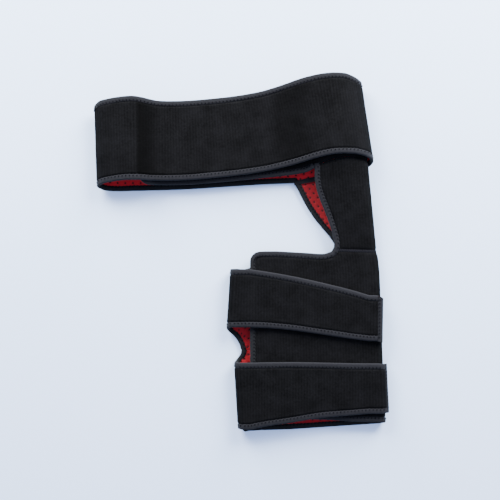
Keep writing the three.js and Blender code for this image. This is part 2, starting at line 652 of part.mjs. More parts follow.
// A free edge that leans needs a wider lane for the same reach square to it.
const FRONT_LEAN = 1.15;
const BACK_LEAN = 1.5;
const HIP_SHARES = [0.35, 0.65];
function hipLanes(seam, side, lean) {
  const bottomLength = topTurn - side.corner;
  const topLength = lineLength(seam);
  const lane = (distance) => ({
    top: alongLine(seam, distance * lean),
    bottom: thighTop(side, side.corner + distance * lean),
    bow: 1,
  });
  const part = (s) => ({
    top: alongLine(seam, s * topLength),
    bottom: thighTop(side, side.corner + s * bottomLength),
    bow: 1 - s,
  });
  return [...[0, RIM, TAPE_REACH, TAPE_REACH + TAPER].map(lane), ...HIP_SHARES.map(part)];
}
const frontDown = FRONT.top(topTurn) - seamGap;
const backDown = BACK.top(topTurn) - seamGap;
const foldColumns = foldPoints(topTurn, frontDown, backDown).map((bottom, k) => ({
  top: foldSeam[k],
  bottom,
  bow: 0,
}));
const frontColumns = hipLanes(frontSeam, FRONT, FRONT_LEAN);
const backColumns = hipLanes(backSeam, BACK, BACK_LEAN).toReversed();
const hipGrid = [...frontColumns, ...foldColumns, ...backColumns].map(({ top, bottom, bow }, k) =>
  HIP_EDGE.map((row) => {
    const side = k < frontColumns.length ? row.front : row.back;
    return mix(top, bottom, row.down).add(new THREE.Vector3(side * bow * HIP_BOW, 0, 0));
  }),
);
const hipCloth = hipGrid.slice(1, -1);
const lastHipColumn = hipCloth.length - 1;
addPanel("hip_panel", hipCloth, (k, i) => {
  const bound = k < 2 || k > lastHipColumn - 2;
  const sewn = i === 0 || i === HIP_EDGE.length - 1;
  return bound || sewn ? SHELL_AT_EDGE : SHELL;
});

// The front and back edge bindings: down the hip panel's free edge and along the sleeve's upper edge.
const hipNormals = gridNormals(hipGrid);
const up = new THREE.Vector3(0, 0, 1);
const down = new THREE.Vector3(0, 0, -1);
const arcSteps = 4;
const cornerArc = Array.from({ length: arcSteps + 1 }, (_, k) => {
  const angle = (Math.PI / 2) * (1 + k / arcSteps);
  return new THREE.Vector3(
    CORNER_RADIUS * (1 + Math.cos(angle)),
    -FRONT.top(0) - CORNER_RADIUS * (1 - Math.sin(angle)),
    FRONT.height,
  );
});
const outlineTop = (side, x) => new THREE.Vector3(x, -side.top(x), side.height);
const frontTop = FREE_SHARES.toReversed().map((s) => outlineTop(FRONT, s * FRONT.corner));
const freeEdge = [share(0.12), share(0.35), share(0.65), above(pastTape)].map(
  (drop) => new THREE.Vector3(0, -drop(FRONT.top(0), FRONT.bottom(0)), FRONT.height),
);
const frontHip = hipGrid[0].slice(0, -1);
const frontPath = [...frontHip, outlineTop(FRONT, FRONT.corner), ...frontTop, ...cornerArc, ...freeEdge];
const frontNormals = frontPath.map((_, k) => (k < frontHip.length ? hipNormals[0][k] : up));
addBinding("front_edge_binding", squareEdge(frontPath, frontNormals, 1));

const backHip = hipGrid.at(-1).slice(0, -1);
const backTop = ROOT_SHARES.map((s) =>
  outlineTop(BACK, THREE.MathUtils.lerp(BACK.corner, ROOT_SEAM + CLEARANCE, s)),
);
const backPath = [...backHip, outlineTop(BACK, BACK.corner), ...backTop];
const backNormals = backPath.map((_, k) => (k < backHip.length ? hipNormals.at(-1)[k] : down));
addBinding("back_edge_binding", squareEdge(backPath, backNormals, -1));

// Tape over the seam inside, between the belt's back layer and the hip panel.
const tapeNear = -(LINED_FACE + CLEARANCE);
const tapeEnd = beltPlaces[marks.hipBack] - 2 * TAPE_REACH;
const seamTapeRings = stretch(belt, beltPlaces[marks.foldEnd], tapeEnd).map((s) => [
  pointOf(s, 1, -SEAM_TAPE_WIDTH / 2, tapeNear),
  pointOf(s, 1, SEAM_TAPE_WIDTH / 2, tapeNear),
  pointOf(s, 1, SEAM_TAPE_WIDTH / 2, tapeNear - TAPE),
  pointOf(s, 1, -SEAM_TAPE_WIDTH / 2, tapeNear - TAPE),
]);
addRings("waist_seam_tape", BLACK_HOOK, seamTapeRings, [[0, 1, 2], [0, 2, 3]]);

// Straps
const STRAP_RADIUS = (OVER_LAYER - BACK_LAYER) / 2;
const WRAP_RADIUS = OVER_LAYER - FOLD_HEIGHT;
const WRAP_STEP = 13;
function strapStrip(strap) {
  const point = (along, downShare, height) =>
    new THREE.Vector3(along * THIGH_SPAN, -downShare * THIGH_LENGTH, height);
  const list = strap.root.map((row) => ({
    top: point(row.topAlong, row.top, BACK_LAYER),
    bottom: point(row.bottomAlong, row.bottom, BACK_LAYER),
    topSewn: row.joint === "top",
    bottomSewn: row.joint === "bottom",
    notch: row.notch,
  }));
  const foldIndex = list.length;
  const overRow = strap.over[0];
  const edge = (foldAlong, fromDown, toDown, k) => {
    const angle = (Math.PI * k) / FOLD_STEPS;
    const settled = Math.sin(Math.min(strap.fold.pace * angle, Math.PI / 2));
    const eased = THREE.MathUtils.lerp(fromDown, toDown, settled);
    return new THREE.Vector3(
      foldAlong * THIGH_SPAN + OUTER_FACE + STRAP_RADIUS * (1 - Math.sin(angle)),
      -eased * THIGH_LENGTH,
      BACK_LAYER + STRAP_RADIUS * (1 - Math.cos(angle)),
    );
  };
  for (let k = 0; k <= FOLD_STEPS; k++) {
    list.push({
      top: edge(strap.fold.topAlong, strap.fold.top, overRow.top, k),
      bottom: edge(strap.fold.bottomAlong, strap.fold.bottom, overRow.bottom, k),
    });
  }
  for (const row of strap.over) {
    list.push({
      top: point(row.along, row.top, OVER_LAYER),
      bottom: point(row.along, row.bottom, OVER_LAYER),
    });
  }
  const { end } = strap;
  const lastRow = strap.over.at(-1);
  const wrapSteps = Math.round(strap.wrap / WRAP_STEP);
  const turnDown = (reach, fromDown, toDown, k) => {
    const angle = THREE.MathUtils.degToRad((strap.wrap * k) / wrapSteps);
    const centre = foldCentre(toDown) + reach * THIGH_SPAN;
    return new THREE.Vector3(
      centre + WRAP_RADIUS * Math.sin(angle),
      -THREE.MathUtils.lerp(fromDown, toDown, (k + 1) / (wrapSteps + 1)) * THIGH_LENGTH,
      FOLD_HEIGHT + WRAP_RADIUS * Math.cos(angle),
    );
  };
  for (let k = 0; k <= wrapSteps; k++) {
    list.push({
      top: turnDown(end.topReach, lastRow.top, end.top, k),
      bottom: turnDown(end.bottomReach, lastRow.bottom, end.bottom, k),
    });
  }
  return { stations: framed(list), foldIndex };
}

// The strap's edge beside the notch, square to itself on the flat root and along the sections elsewhere.
function notchEdge(stations, name, side) {
  const first = stations.findIndex((s) => s.notch === name);
  const run = stations.slice(first);
  const square = squareEdge(run.map((s) => s[name]), run.map((s) => s.normal), side);
  run.forEach((s, k) => {
    if (s.notch) {
      s[name + "Rim"] = square[k].inwards.clone().multiplyScalar(RIM);
    } else {
      square[k].inwards = s.across.clone().multiplyScalar(name === "top" ? 1 : -1);
    }
  });
  return square;
}

function trimmedEdge(edge, distance) {
  const last = edge.length - 1;
  let left = distance;
  let k = last;
  while (edge[k].place.distanceTo(edge[k - 1].place) < left) {
    left -= edge[k].place.distanceTo(edge[k - 1].place);
    k--;
  }
  const share = left / edge[k].place.distanceTo(edge[k - 1].place);
  const tip = {
    place: mix(edge[k].place, edge[k - 1].place, share),
    inwards: edge[k].inwards,
    normal: mix(edge[k].normal, edge[k - 1].normal, share).normalize(),
  };
  return [...edge.slice(0, k), tip];
}

const upper = strapStrip(UPPER_STRAP);
const lower = strapStrip(LOWER_STRAP);
const upperNotch = notchEdge(upper.stations, "bottom", 1);
const lowerNotch = notchEdge(lower.stations, "top", -1);
const notchBottom = {
  place: mix(upperNotch[0].place, lowerNotch[0].place, 0.5),
  inwards: new THREE.Vector3(1, 0, 0),
  normal: down,
};
const notchPath = [
  ...trimmedEdge(upperNotch, pastTape).toReversed().slice(0, -1),
  notchBottom,
  ...trimmedEdge(lowerNotch, pastTape).slice(1),
];
addBinding("notch_binding", notchPath);

for (const [name, { stations, foldIndex }] of Object.entries({ upper_strap: upper, lower_strap: lower })) {
  const at = places(stations);
  const length = at.at(-1);
  addLaminate(name, stations, {
    thinStart: at[foldIndex],
    thinEnd: TAPE_REACH,
    startBound: false,
    endBound: true,
  });
  addEndBinding(name + "_end_binding", stations, true);
  addPatch(name + "_hook_tape", stations, length - pastTape - HOOK_LENGTH, length - pastTape);
  const run = stretch(stations, 0, length - pastTape);
  if (name === "upper_strap") addBinding("upper_strap_top_binding", topEdge(run));
  else addBinding("lower_strap_bottom_binding", bottomEdge(run));
}

// The origin is under the middle of the whole, on the surface it lies on.
const box = new THREE.Box3().setFromObject(wrap);
const centre = box.getCenter(new THREE.Vector3());
for (const mesh of wrap.children) mesh.geometry.translate(-centre.x, -centre.y, -box.min.z);

export default wrap;
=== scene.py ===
"""A hip and thigh compression wrap, lying flat: the looks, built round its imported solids."""

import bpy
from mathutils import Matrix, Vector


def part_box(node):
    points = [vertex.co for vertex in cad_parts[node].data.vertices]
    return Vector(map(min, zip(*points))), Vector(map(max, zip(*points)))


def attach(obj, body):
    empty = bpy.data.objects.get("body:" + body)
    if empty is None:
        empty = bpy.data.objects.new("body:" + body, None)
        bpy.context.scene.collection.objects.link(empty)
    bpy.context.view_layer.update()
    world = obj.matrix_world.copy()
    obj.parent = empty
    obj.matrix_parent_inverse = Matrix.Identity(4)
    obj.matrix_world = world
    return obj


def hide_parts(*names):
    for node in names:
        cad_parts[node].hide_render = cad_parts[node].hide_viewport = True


bl_info = {
    "name": "Hip and thigh compression wrap",
    "version": (1, 0, 0),
    "blender": (4, 5, 0),
    "location": "3D Viewport > Sidebar > Wrap",
    "description": "Builds a padded waist belt, hip panel and thigh sleeve with two straps",
    "category": "Add Mesh",
}

import math

import bpy
import numpy as np
from bpy.props import FloatProperty, FloatVectorProperty, PointerProperty

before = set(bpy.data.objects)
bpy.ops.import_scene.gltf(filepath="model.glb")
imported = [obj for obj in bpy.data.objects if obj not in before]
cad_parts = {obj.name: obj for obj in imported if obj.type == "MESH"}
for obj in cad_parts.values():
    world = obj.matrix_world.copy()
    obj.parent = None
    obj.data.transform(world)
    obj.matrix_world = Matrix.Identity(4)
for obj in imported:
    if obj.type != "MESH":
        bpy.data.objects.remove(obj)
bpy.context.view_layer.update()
MM = 0.001
SMOOTH_BELOW = math.radians(50)

# Layers of the padded cloth, in millimetres
SHELL = 2.4
SHELL_AT_EDGE = 1.0
LINING = 1.0
TAPE = 1.0
TAPE_REACH = 8.5
CLEARANCE = 0.3
OPENING = 5.0
HOOK_THICKNESS = 1.1
SEAM_TAPE_THICKNESS = 1.1
HALF_GAP = CLEARANCE / 2
OUTER_FACE = HALF_GAP + SHELL
TAPED_FACE = HALF_GAP + SHELL_AT_EDGE + CLEARANCE + TAPE
LINED_FACE = HALF_GAP + LINING
RIM = CLEARANCE + TAPE
STACK = OUTER_FACE + TAPED_FACE + CLEARANCE
BACK_LAYER = OUTER_FACE
FRONT_LAYER = BACK_LAYER + 2 * TAPED_FACE + OPENING
OVER_LAYER = FRONT_LAYER + STACK + CLEARANCE
LAYERS = (BACK_LAYER, BACK_LAYER + STACK, FRONT_LAYER, OVER_LAYER)
PAST_TAPE = TAPE_REACH + CLEARANCE

# Tapes and sewing, in millimetres. SEAM_REACH holds the seam tape's lines across the waist seam, and
# STITCH_ENDS how far in from the edge and how high a stitch's ends lie.
END_CORNER = 15.0
STITCH_LEAN = 1.0
STITCH_ENDS = ((5.1, 2.45), (7.5, 2.1))
SEAM_REACH = (3.4, 1.2, -1.2, -3.4)
SEAM_THREAD = 0.9
SEAM_STITCH = 1.3
SEAM_STITCH_REACH = 2.4
SEWN_RIM = 0.08
ROOT_RIM = 0.1
RIM_PINCH = 0.75
RIM_DIP = 0.1

# Sizes of the pieces, in millimetres
BELT_SPAN = 395
BELT_WIDTH = 115
BELT_OVERHANG = 223.5
HIP_RISE = 145
LOFT = 16
HOOK_LENGTH = 45
HIP_BOW = 117
THIGH_SPAN = 200
THIGH_LENGTH = 267
CORNER_RADIUS = 14
HEM_DEPTH = 11.5
ROOT_SEAM = 18
FOLD_RADIUS = (FRONT_LAYER - BACK_LAYER) / 2
FOLD_HEIGHT = (FRONT_LAYER + BACK_LAYER) / 2
STRAP_RADIUS = (OVER_LAYER - BACK_LAYER) / 2
WRAP_RADIUS = OVER_LAYER - FOLD_HEIGHT

# The padding, in millimetres: how far from a taped edge it swells and its waves begin, and how deep and wide
# they are. At a sewn edge it is pinched to a share of its thickness.
SWELL_START, SWELL_LENGTH = 7.6, 3.2
WAVES_START, WAVES_FADE = 7.0, 12
SHELL_PINCHED, SHELL_PINCH = 0.3, 5.0
SHELL_WAVE, SHELL_WAVE_SIZE = 0.16, 14.0
LINING_PINCHED, LINING_PINCH = 0.35, 4.0
LINING_WAVE, LINING_WAVE_SIZE = 0.12, 11.0

# The waves are five that turn by the golden angle, in radians, and their sum stays under WAVES_AT_MOST
GOLDEN_ANGLE = 2.399
WAVES_AT_MOST = 2.3

# Steps of the surfaces, in millimetres. A bend whose cosine is below TIGHT_TURN takes the tight step.
ROW_STEP = 1.25
EVEN_STEP = 1.2
EDGE_STEP = 1.15
LINE_STEP = 1.5
TIGHT_STEP, WIDE_STEP = 0.9, 3.0
TIGHT_TURN = 0.9

# Places across a piece from its edge inwards, in millimetres, and counts of points, columns and rows
STRIP_LANES = np.array([0, 2, 4, 6, 7.9, 8.8, 9.7, 10.7, 12.5])
PANEL_LANES = np.array([RIM, 3.5, 6.0, 7.6, 8.6, 9.6, 10.8, 12.5])
MIDDLE_LANES = 19
FOLD_COLUMNS = 17
SEWN_COLUMNS = 17
OPEN_COLUMNS = 28
HIP_COLUMNS = 42
CORNER_ROWS = 5
SEWN_ROW = 0.02
HOOK_GRID = (40, 20)
EDGE_EASE = 4

# The hip panel's free edge runs at a slant, so what is measured along its rows is longer by this factor
EDGE_SLANT = 1.12

# How far apart a table's rows count when it is smoothed: over the belt's span, down the hip panel, and down
# and along a strap
LEAN_SPREAD = 30
HIP_SPREAD = 100
DOWN_SPREAD, ALONG_SPREAD = 260, 200

# The belt's centre line from its inner end to its hidden tail: share of the span from the left turn, rise as
# a share of the belt's width, lean of the section in degrees, lift as a share of the loft, and the layer.
BELT = [
    (0.148, 0.078, 2, 0.75, 2),
    (0.172, 0.077, 2, 0.53, 2),
    (0.197, 0.075, 1, 0.24, 2),
    (0.222, 0.074, 1, 0.07, 2),
    (0.255, 0.074, 1, 0.0, 2),
    (0.343, 0.082, 2, 0.0, 2),
    (0.49, 0.124, 4, 0.0, 2),
    (0.606, 0.164, 6, 0.02, 2),
    (0.72, 0.209, 8, 0.16, 2),
    (0.756, 0.233, 9, 0.28, 2),
    (0.784, 0.283, 9, 0.45, 2),
    (0.806, 0.335, 9, 0.57, 2),
    (0.836, 0.375, 9, 0.69, 2),
    (0.872, 0.405, 8, 0.8, 2),
    (0.908, 0.425, 8, 0.82, 2),
    (0.94, 0.42, 8, 0.66, 2),
    (0.967, 0.395, 9, 0.44, 2),
    (0.98, 0.366, 9, 0.11, 2),
    (0.971, 0.335, 9, 0.12, 1),
    (0.944, 0.29, 9, 0.0, 1),
    (0.88, 0.23, 8, 0.0, 1),
    (0.814, 0.17, 7, 0.0, 1),
    (0.77, 0.138, 6, 0.2, 0),
    (0.72, 0.107, 5, 0.03, 0),
    (0.68, 0.1, 4, 0.0, 0),
    (0.606, 0.09, 4, 0.0, 0),
    (0.452, 0.056, 3, 0.0, 0),
    (0.3, 0.024, 2, 0.0, 0),
    (0.13, 0.008, 2, 0.0, 0),
    (0.058, 0.003, 2, 0.0, 0),
    (0.018, 0.012, 2, 0.17, 0),
    (0.0, 0.048, 2, 0.62, 0),
    (0.018, 0.09, 2, 0.11, 3),
    (0.052, 0.118, 2, 0.42, 3),
    (0.09, 0.14, 2, 0.62, 3),
    (0.135, 0.152, 1, 0.8, 3),
    (0.165, 0.148, 0, 0.68, 3),
    (0.192, 0.141, 0, 0.35, 3),
    (0.217, 0.137, 0, 0.12, 3),
    (0.255, 0.135, 1, 0.0, 3),
    (0.343, 0.144, 2, 0.0, 3),
    (0.49, 0.191, 5, 0.01, 3),
    (0.566, 0.224, 8, 0.04, 3),
    (0.64, 0.269, 10, 0.15, 3),
    (0.714, 0.331, 12, 0.43, 3),
    (0.787, 0.403, 12, 0.76, 3),
    (0.846, 0.445, 10, 0.94, 3),
    (0.89, 0.458, 8, 0.97, 3),
    (0.935, 0.455, 8, 0.8, 3),
    (0.968, 0.439, 9, 0.5, 3),
    (0.991, 0.42, 9, 0.1, 3),
    (1.002, 0.4, 9, 0.56, 0),
    (0.994, 0.38, 8, 0.13, 0),
    (0.97, 0.365, 7, 0.0, 0),
    (0.9, 0.36, 5, 0.0, 0),
    (0.835, 0.357, 4, 0.0, 0),
]
HIP_FRONT, FOLD_START, FOLD_END, HIP_BACK = 10, 15, 19, 23
LEFT_TURN, RIGHT_TURN = 31, 49

# Painted shade and painted highlight on the outer front, over its share of the belt's span: below 0 painted
# shade, darker, above 0 painted highlight, lighter
PAINTED_BELT_LIGHT = [
    (0.0, 0.0),
    (0.143, 0.0),
    (0.153, -0.85),
    (0.178, -0.75),
    (0.23, -0.15),
    (0.28, 0.0),
    (0.64, 0.0),
    (0.7, -0.45),
    (0.74, -0.4),
    (0.8, -0.1),
    (0.86, 0.0),
    (0.92, 0.12),
    (1.0, 0.16),
]

# How the belt's shape is eased at its visible rows: row, then in millimetres the shift to the left, and how
# far the top edge is raised and the bottom edge lowered
BELT_EASE = [
    (27, 0.0, 0.0, 0.0),
    (29, 1.4, 1.5, 0.0),
    (30, 2.6, 3.0, 0.0),
    (31, 3.6, 5.0, 0.0),
    (32, 3.4, 7.0, 0.5),
    (34, 1.5, 6.0, 1.5),
    (35, 0.0, 5.4, 2.6),
    (36, 0.0, 4.2, 2.0),
    (38, 0.0, 2.2, 1.0),
    (41, 0.0, 1.5, 0.5),
    (43, 0.0, 2.0, 0.0),
    (45, 0.0, 3.6, 0.0),
    (47, 0.0, 4.2, 0.0),
    (48, -0.5, 4.2, 0.0),
    (49, -1.0, 2.5, 1.0),
    (50, -1.0, 0.5, 2.5),
    (51, 0.0, 0.0, 5.0),
    (52, 0.0, 0.0, 8.0),
    (53, 0.0, 0.0, 8.0),
    (55, 0.0, 0.0, 2.0),
]

# How far the hip panel's free edges bow, by share of its height: front and back, as shares of HIP_BOW.
HIP_EDGE = [
    (0.0, 0.0, 0.0),
    (0.1, -0.02, 0.0),
    (0.22, -0.03, -0.005),
    (0.36, -0.017, -0.005),
    (0.5, 0.012, 0.01),
    (0.65, 0.04, 0.045),
    (0.78, 0.053, 0.08),
    (0.88, 0.055, 0.086),
    (0.95, 0.04, 0.065),
    (1.0, 0.0, 0.0),
]

# The thigh panel's fold and its upper and lower edges: shares of its length and span.
THIGH_FOLD = [(0.0, 0.94), (0.05, 0.955), (0.12, 0.965), (0.35, 0.977), (0.65, 0.992), (1.0, 1.015)]
FRONT_TOP = [
    (0.0, 0.012),
    (0.08, 0.007),
    (0.2, 0.006),
    (0.43, 0.016),
    (0.54, 0.023),
    (0.59, 0.016),
    (0.61, 0.0),
    (1.0, 0.01),
]
BACK_TOP = [
    (0.0, 0.09),
    (0.09, 0.047),
    (0.16, 0.029),
    (0.25, 0.024),
    (0.43, 0.026),
    (0.54, 0.034),
    (0.595, 0.027),
    (0.62, 0.008),
    (1.0, 0.01),
]
FRONT_BOTTOM = [(0.0, 0.945), (0.25, 0.941), (0.42, 0.94), (0.6, 0.945), (0.75, 0.953), (1.0, 0.957)]
BACK_BOTTOM = [(0.0, 1.012), (0.3, 1.005), (0.6, 0.99), (1.0, 0.97)]
FRONT_EDGES, BACK_EDGES = (FRONT_TOP, FRONT_BOTTOM), (BACK_TOP, BACK_BOTTOM)
HIP_CORNER = (0.605 * THIGH_SPAN, 0.615 * THIGH_SPAN)

# The straps. root: along at the top, along at the bottom, top, bottom. fold: along at the top, along at the
# bottom, top, bottom, pace. over: along, top, bottom. end: top, bottom, extra reach of the top, degrees
# turned. corner: the root's row where the straps part. joint: the side that meets the other strap, where 0
# is the top.
UPPER_STRAP = {
    "root": [
        (0.09, 0.09, 0.047, 0.5618),
        (0.045, 0.0, 0.076, 0.5618),
        (0.0, -0.067, 0.099, 0.5612),
        (-0.025, -0.077, 0.106, 0.532),
        (-0.06, -0.096, 0.108, 0.504),
    ],
    "fold": (-0.148, -0.176, 0.105, 0.478, 0.5),
    "over": [
        (0.0, 0.106, 0.428),
        (0.15, 0.123, 0.433),
        (0.3, 0.143, 0.443),
        (0.5, 0.175, 0.464),
        (0.75, 0.221, 0.492),
        (0.88, 0.25, 0.504),
    ],
    "end": (0.271, 0.512, 0.017, 35),
    "corner": 2,
    "joint": 1,
}
LOWER_STRAP = {
    "root": [
        (0.09, 0.09, 0.5618, 1.0092),
        (0.02, 0.04, 0.5618, 1.012),
        (-0.066, -0.01, 0.5624, 1.014),
    ],
    "fold": (-0.12, -0.092, 0.582, 1.018, 1.0),
    "over": [
        (0.0, 0.623, 0.994),
        (0.13, 0.621, 0.974),
        (0.3, 0.62, 0.956),
        (0.5, 0.622, 0.931),
        (0.75, 0.626, 0.914),
        (0.88, 0.627, 0.906),
    ],
    "end": (0.635, 0.901, 0.0, 95),
    "corner": 2,
    "joint": 0,
}


# The stage, in metres and watts: the photograph looks straight down. The camera's lens and sensor are in
# millimetres.
FLOOR_SIZE = 8
FLOOR_GAP = 0.0003
SOFTBOXES = [
    ("left_softbox", (-0.95, 1.5, 0.74), 166.0),
    ("right_softbox", (1.1, 1.4, 0.76), 190.0),
]
SOFTBOX_SIZE = 1.1
ROOM_COLOUR = (0.8, 0.92, 1.32, 1)
ROOM_STRENGTH = 1.17
CAMERA_HEIGHT = 1.15
CAMERA_LENS = 55.2
SENSOR_WIDTH = 36
CAMERA_REACH = 20


# Curves and grids
def unit(v):
    """Vectors of length 1."""
    return v / np.maximum(np.linalg.norm(v, axis=-1, keepdims=True), 1e-9)


def column(rows, place):
    """A two-column table read at a place."""
    table = np.array(rows, float)
    return np.interp(place, table[:, 0], table[:, 1])


def through(points, marks):
    """A smooth curve through points, read at fractional positions along their list."""
    points = np.asarray(points, float)
    last = len(points) - 1
    marks = np.clip(np.asarray(marks, float), 0, last)
    k = np.minimum(marks.astype(int), last - 1)
    t = (marks - k)[:, None]
    p1, p2 = points[k], points[k + 1]
    p0 = np.where((k > 0)[:, None], points[np.maximum(k - 1, 0)], 2 * p1 - p2)
    p3 = np.where((k + 2 <= last)[:, None], points[np.minimum(k + 2, last)], 2 * p2 - p1)
    d0 = np.maximum(np.linalg.norm(p1[:, :3] - p0[:, :3], axis=1, keepdims=True) ** 0.5, 1e-4)
    d1 = np.maximum(np.linalg.norm(p2[:, :3] - p1[:, :3], axis=1, keepdims=True) ** 0.5, 1e-4)
    d2 = np.maximum(np.linalg.norm(p3[:, :3] - p2[:, :3], axis=1, keepdims=True) ** 0.5, 1e-4)
    m1 = ((p1 - p0) / d0 - (p2 - p0) / (d0 + d1) + (p2 - p1) / d1) * d1
    m2 = ((p2 - p1) / d1 - (p3 - p1) / (d1 + d2) + (p3 - p2) / d2) * d1
    t2, t3 = t * t, t * t * t
    near = (2 * t3 - 3 * t2 + 1) * p1 + (t3 - 2 * t2 + t) * m1
    far = (3 * t2 - 2 * t3) * p2 + (t3 - t2) * m2
    return near + far


def lengths(points):
    """Distance passed at each point of a line."""
    steps = np.linalg.norm(np.diff(points, axis=0), axis=1)
    return np.concatenate([[0.0], np.cumsum(steps)])


def resampled(points, step):
    """Fractional positions a step apart along a line."""
    passed = lengths(points)
    count = max(int(round(passed[-1] / step)), 2)
    return np.interp(np.linspace(0, passed[-1], count + 1), passed, np.arange(len(points)))


class Cloth:
    """A sheet's middle surface: a grid of points along and across, its normals, and its flat measures."""

    def __init__(self, grid, flat=None):
        self.grid = np.asarray(grid, float)
        travel = np.gradient(self.grid, axis=0)
        across = np.gradient(self.grid, axis=1)
        self.normal = unit(np.cross(across, travel))
        columns = self.grid.shape[1]
        if flat is None:
            self.places = lengths(self.grid.mean(axis=1))
            along = np.repeat(self.places[:, None], columns, axis=1)
            width = np.linalg.norm(self.grid[:, -1] - self.grid[:, 0], axis=1)
            share = np.linspace(0, 1, columns)
            flat = np.stack([along, width[:, None] * share[None, :]], axis=-1)
        else:
            self.places = lengths(self.grid[:, columns // 2])
        self.flat = flat

    def read(self, values, a, b):
        """The grid's values at fractional places along and across."""
        m, n = self.grid.shape[:2]
        a = np.clip(a, 0, m - 1)
        b = np.clip(b, 0, n - 1)
        i = np.minimum(a.astype(int), m - 2)
        j = np.minimum(b.astype(int), n - 2)
        s, t = (a - i)[..., None], (b - j)[..., None]
        near = values[i, j] * (1 - t) + values[i, j + 1] * t
        far = values[i + 1, j] * (1 - t) + values[i + 1, j + 1] * t
        return near * (1 - s) + far * s

    def at(self, a, b, height=0.0):
        """Points at fractional places, a height above the middle surface."""
        a, b = np.broadcast_arrays(np.asarray(a, float), np.asarray(b, float))
        normal = unit(self.read(self.normal, a, b))
        return self.read(self.grid, a, b) + normal * np.asarray(height)[..., None]

    def flat_at(self, a, b):
        """Flat measures at fractional places."""
        a, b = np.broadcast_arrays(np.asarray(a, float), np.asarray(b, float))
        return self.read(self.flat, a, b)

    def place(self, distance):
        """The place along the sheet at a distance from its first end."""
        return np.interp(distance, self.places, np.arange(len(self.places)))


class Edge:
    """A line on one or more cloths, with the way in from it. A bent edge follows the cloth inwards, and any
    other edge goes straight in."""

    def __init__(self, parts, bent=False):
        self.bent = bent
        self.parts, points, normals, inwards = [], [], [], []
        for cloth, path, side in parts:
            path = np.asarray(path, float)
            marks = resampled(cloth.at(path[:, 0], path[:, 1]), EDGE_STEP)
            order = np.arange(len(path))
            a = np.interp(marks, order, path[:, 0])
            b = np.interp(marks, order, path[:, 1])
            point = cloth.at(a, b)
            normal = unit(cloth.read(cloth.normal, a, b))
            travel = unit(np.gradient(point, axis=0))
            self.parts.append((cloth, a, b, side))
            points.append(point)
            normals.append(normal)
            inwards.append(unit(np.cross(normal, travel)) * side)
        self.line = np.concatenate(points)
        self.normal = np.concatenate(normals)
        self.passed = lengths(self.line)
        inward = np.pad(np.concatenate(inwards), ((EDGE_EASE, EDGE_EASE), (0, 0)), mode="edge")
        kernel = np.ones(2 * EDGE_EASE + 1) / (2 * EDGE_EASE + 1)
        eased_way = [np.convolve(inward[:, c], kernel, "valid") for c in range(3)]
        self.inward = unit(np.stack(eased_way, axis=1))

    def rail(self, reach, height):
        """The line moved in by a reach and up by a height."""
        count = len(self.line)
        reach = np.broadcast_to(np.asarray(reach, float), (count,))
        height = np.broadcast_to(np.asarray(height, float), (count,))
        if not self.bent:
            return self.line + self.inward * reach[:, None] + self.normal * height[:, None]
        cloth, a, b, side = self.parts[0]
        passed = np.interp(a, np.arange(len(cloth.places)), cloth.places)
        return cloth.at(cloth.place(passed + side * reach), b, height)

    def read(self, rail, distance):
        """Points of a rail at distances along the edge."""
        return np.stack([np.interp(distance, self.passed, rail[:, c]) for c in range(3)], axis=1)


# Surfaces of the pieces
def belt_cloth():
    """The belt's surface, with the rows' places in the BELT table."""
    rows = np.array(BELT, float)
    centres = np.stack(
        [
            rows[:, 0] * BELT_SPAN - BELT_OVERHANG,
            HIP_RISE + rows[:, 1] * BELT_WIDTH,
            np.array(LAYERS)[rows[:, 4].astype(int)] + rows[:, 3] * LOFT,
        ],
        axis=1,
    )
    last = len(rows) - 1
    marks = []
    for k in range(last):
        ahead = unit(centres[min(k + 2, last)] - centres[k])
        behind = unit(centres[k + 1] - centres[max(k - 1, 0)])
        step = TIGHT_STEP if ahead @ behind < TIGHT_TURN else WIDE_STEP
        count = max(int(np.linalg.norm(centres[k + 1] - centres[k]) / step), 2)
        marks += list(k + np.arange(count) / count)
    marks = np.array(marks + [float(last)])
    centre = through(centres, marks)
    centre[:, 2] = np.maximum(centre[:, 2], BACK_LAYER)
    leans = np.stack([rows[:, 2], rows[:, 0] * LEAN_SPREAD, rows[:, 0] * 0], axis=1)
    angle = np.radians(through(leans, marks)[:, 0])
    half = np.stack([-np.sin(angle), np.cos(angle), 0 * angle], axis=1) * BELT_WIDTH / 2
    ease = np.array(BELT_EASE)
    left, top, bottom = (np.interp(marks, ease[:, 0], ease[:, k]) for k in (1, 2, 3))
    none = np.zeros(len(marks))
    tops = centre + half + np.stack([-left, top, none], axis=1)
    bottoms = centre - half - np.stack([left, bottom, none], axis=1)
    return even(tops, bottoms, marks)


def fold_points(x, front_down, back_down):
    """A half turn from the front layer to the back one."""
    turn = np.linspace(0, 1, FOLD_COLUMNS)
    angle = math.pi * turn
    down = front_down + (back_down - front_down) * turn
    height = FOLD_HEIGHT + FOLD_RADIUS * np.cos(angle)
    return np.stack([x + FOLD_RADIUS * np.sin(angle), -down, height], axis=1)


def fold_centre(down):
    """Where the thigh panel's fold turns, at a share of the panel's length."""
    return column(THIGH_FOLD, down) * THIGH_SPAN - OUTER_FACE - FOLD_RADIUS


def softened(rows, x):
    """A table of edge heights with its corners eased."""
    reach = np.linspace(-0.035, 0.035, 9)
    return np.mean([column(rows, x / THIGH_SPAN + r) for r in reach], axis=0)


def level_down(top, bottom, level):
    """How far down a level lies: it is a share of the panel above the hem and a distance into the hem."""
    share, into_hem = level
    return top + share * (bottom - top - HEM_DEPTH) + into_hem


def panel_line(x, edges, height, level):
    """Points of the thigh panel's front or back on one level."""
    x = np.asarray(x, float)
    upper, lower = edges
    top = softened(upper, x) * THIGH_LENGTH
    bottom = column(lower, x / THIGH_SPAN) * THIGH_LENGTH
    return np.column_stack([x, -level_down(top, bottom, level), np.full(len(x), height)])


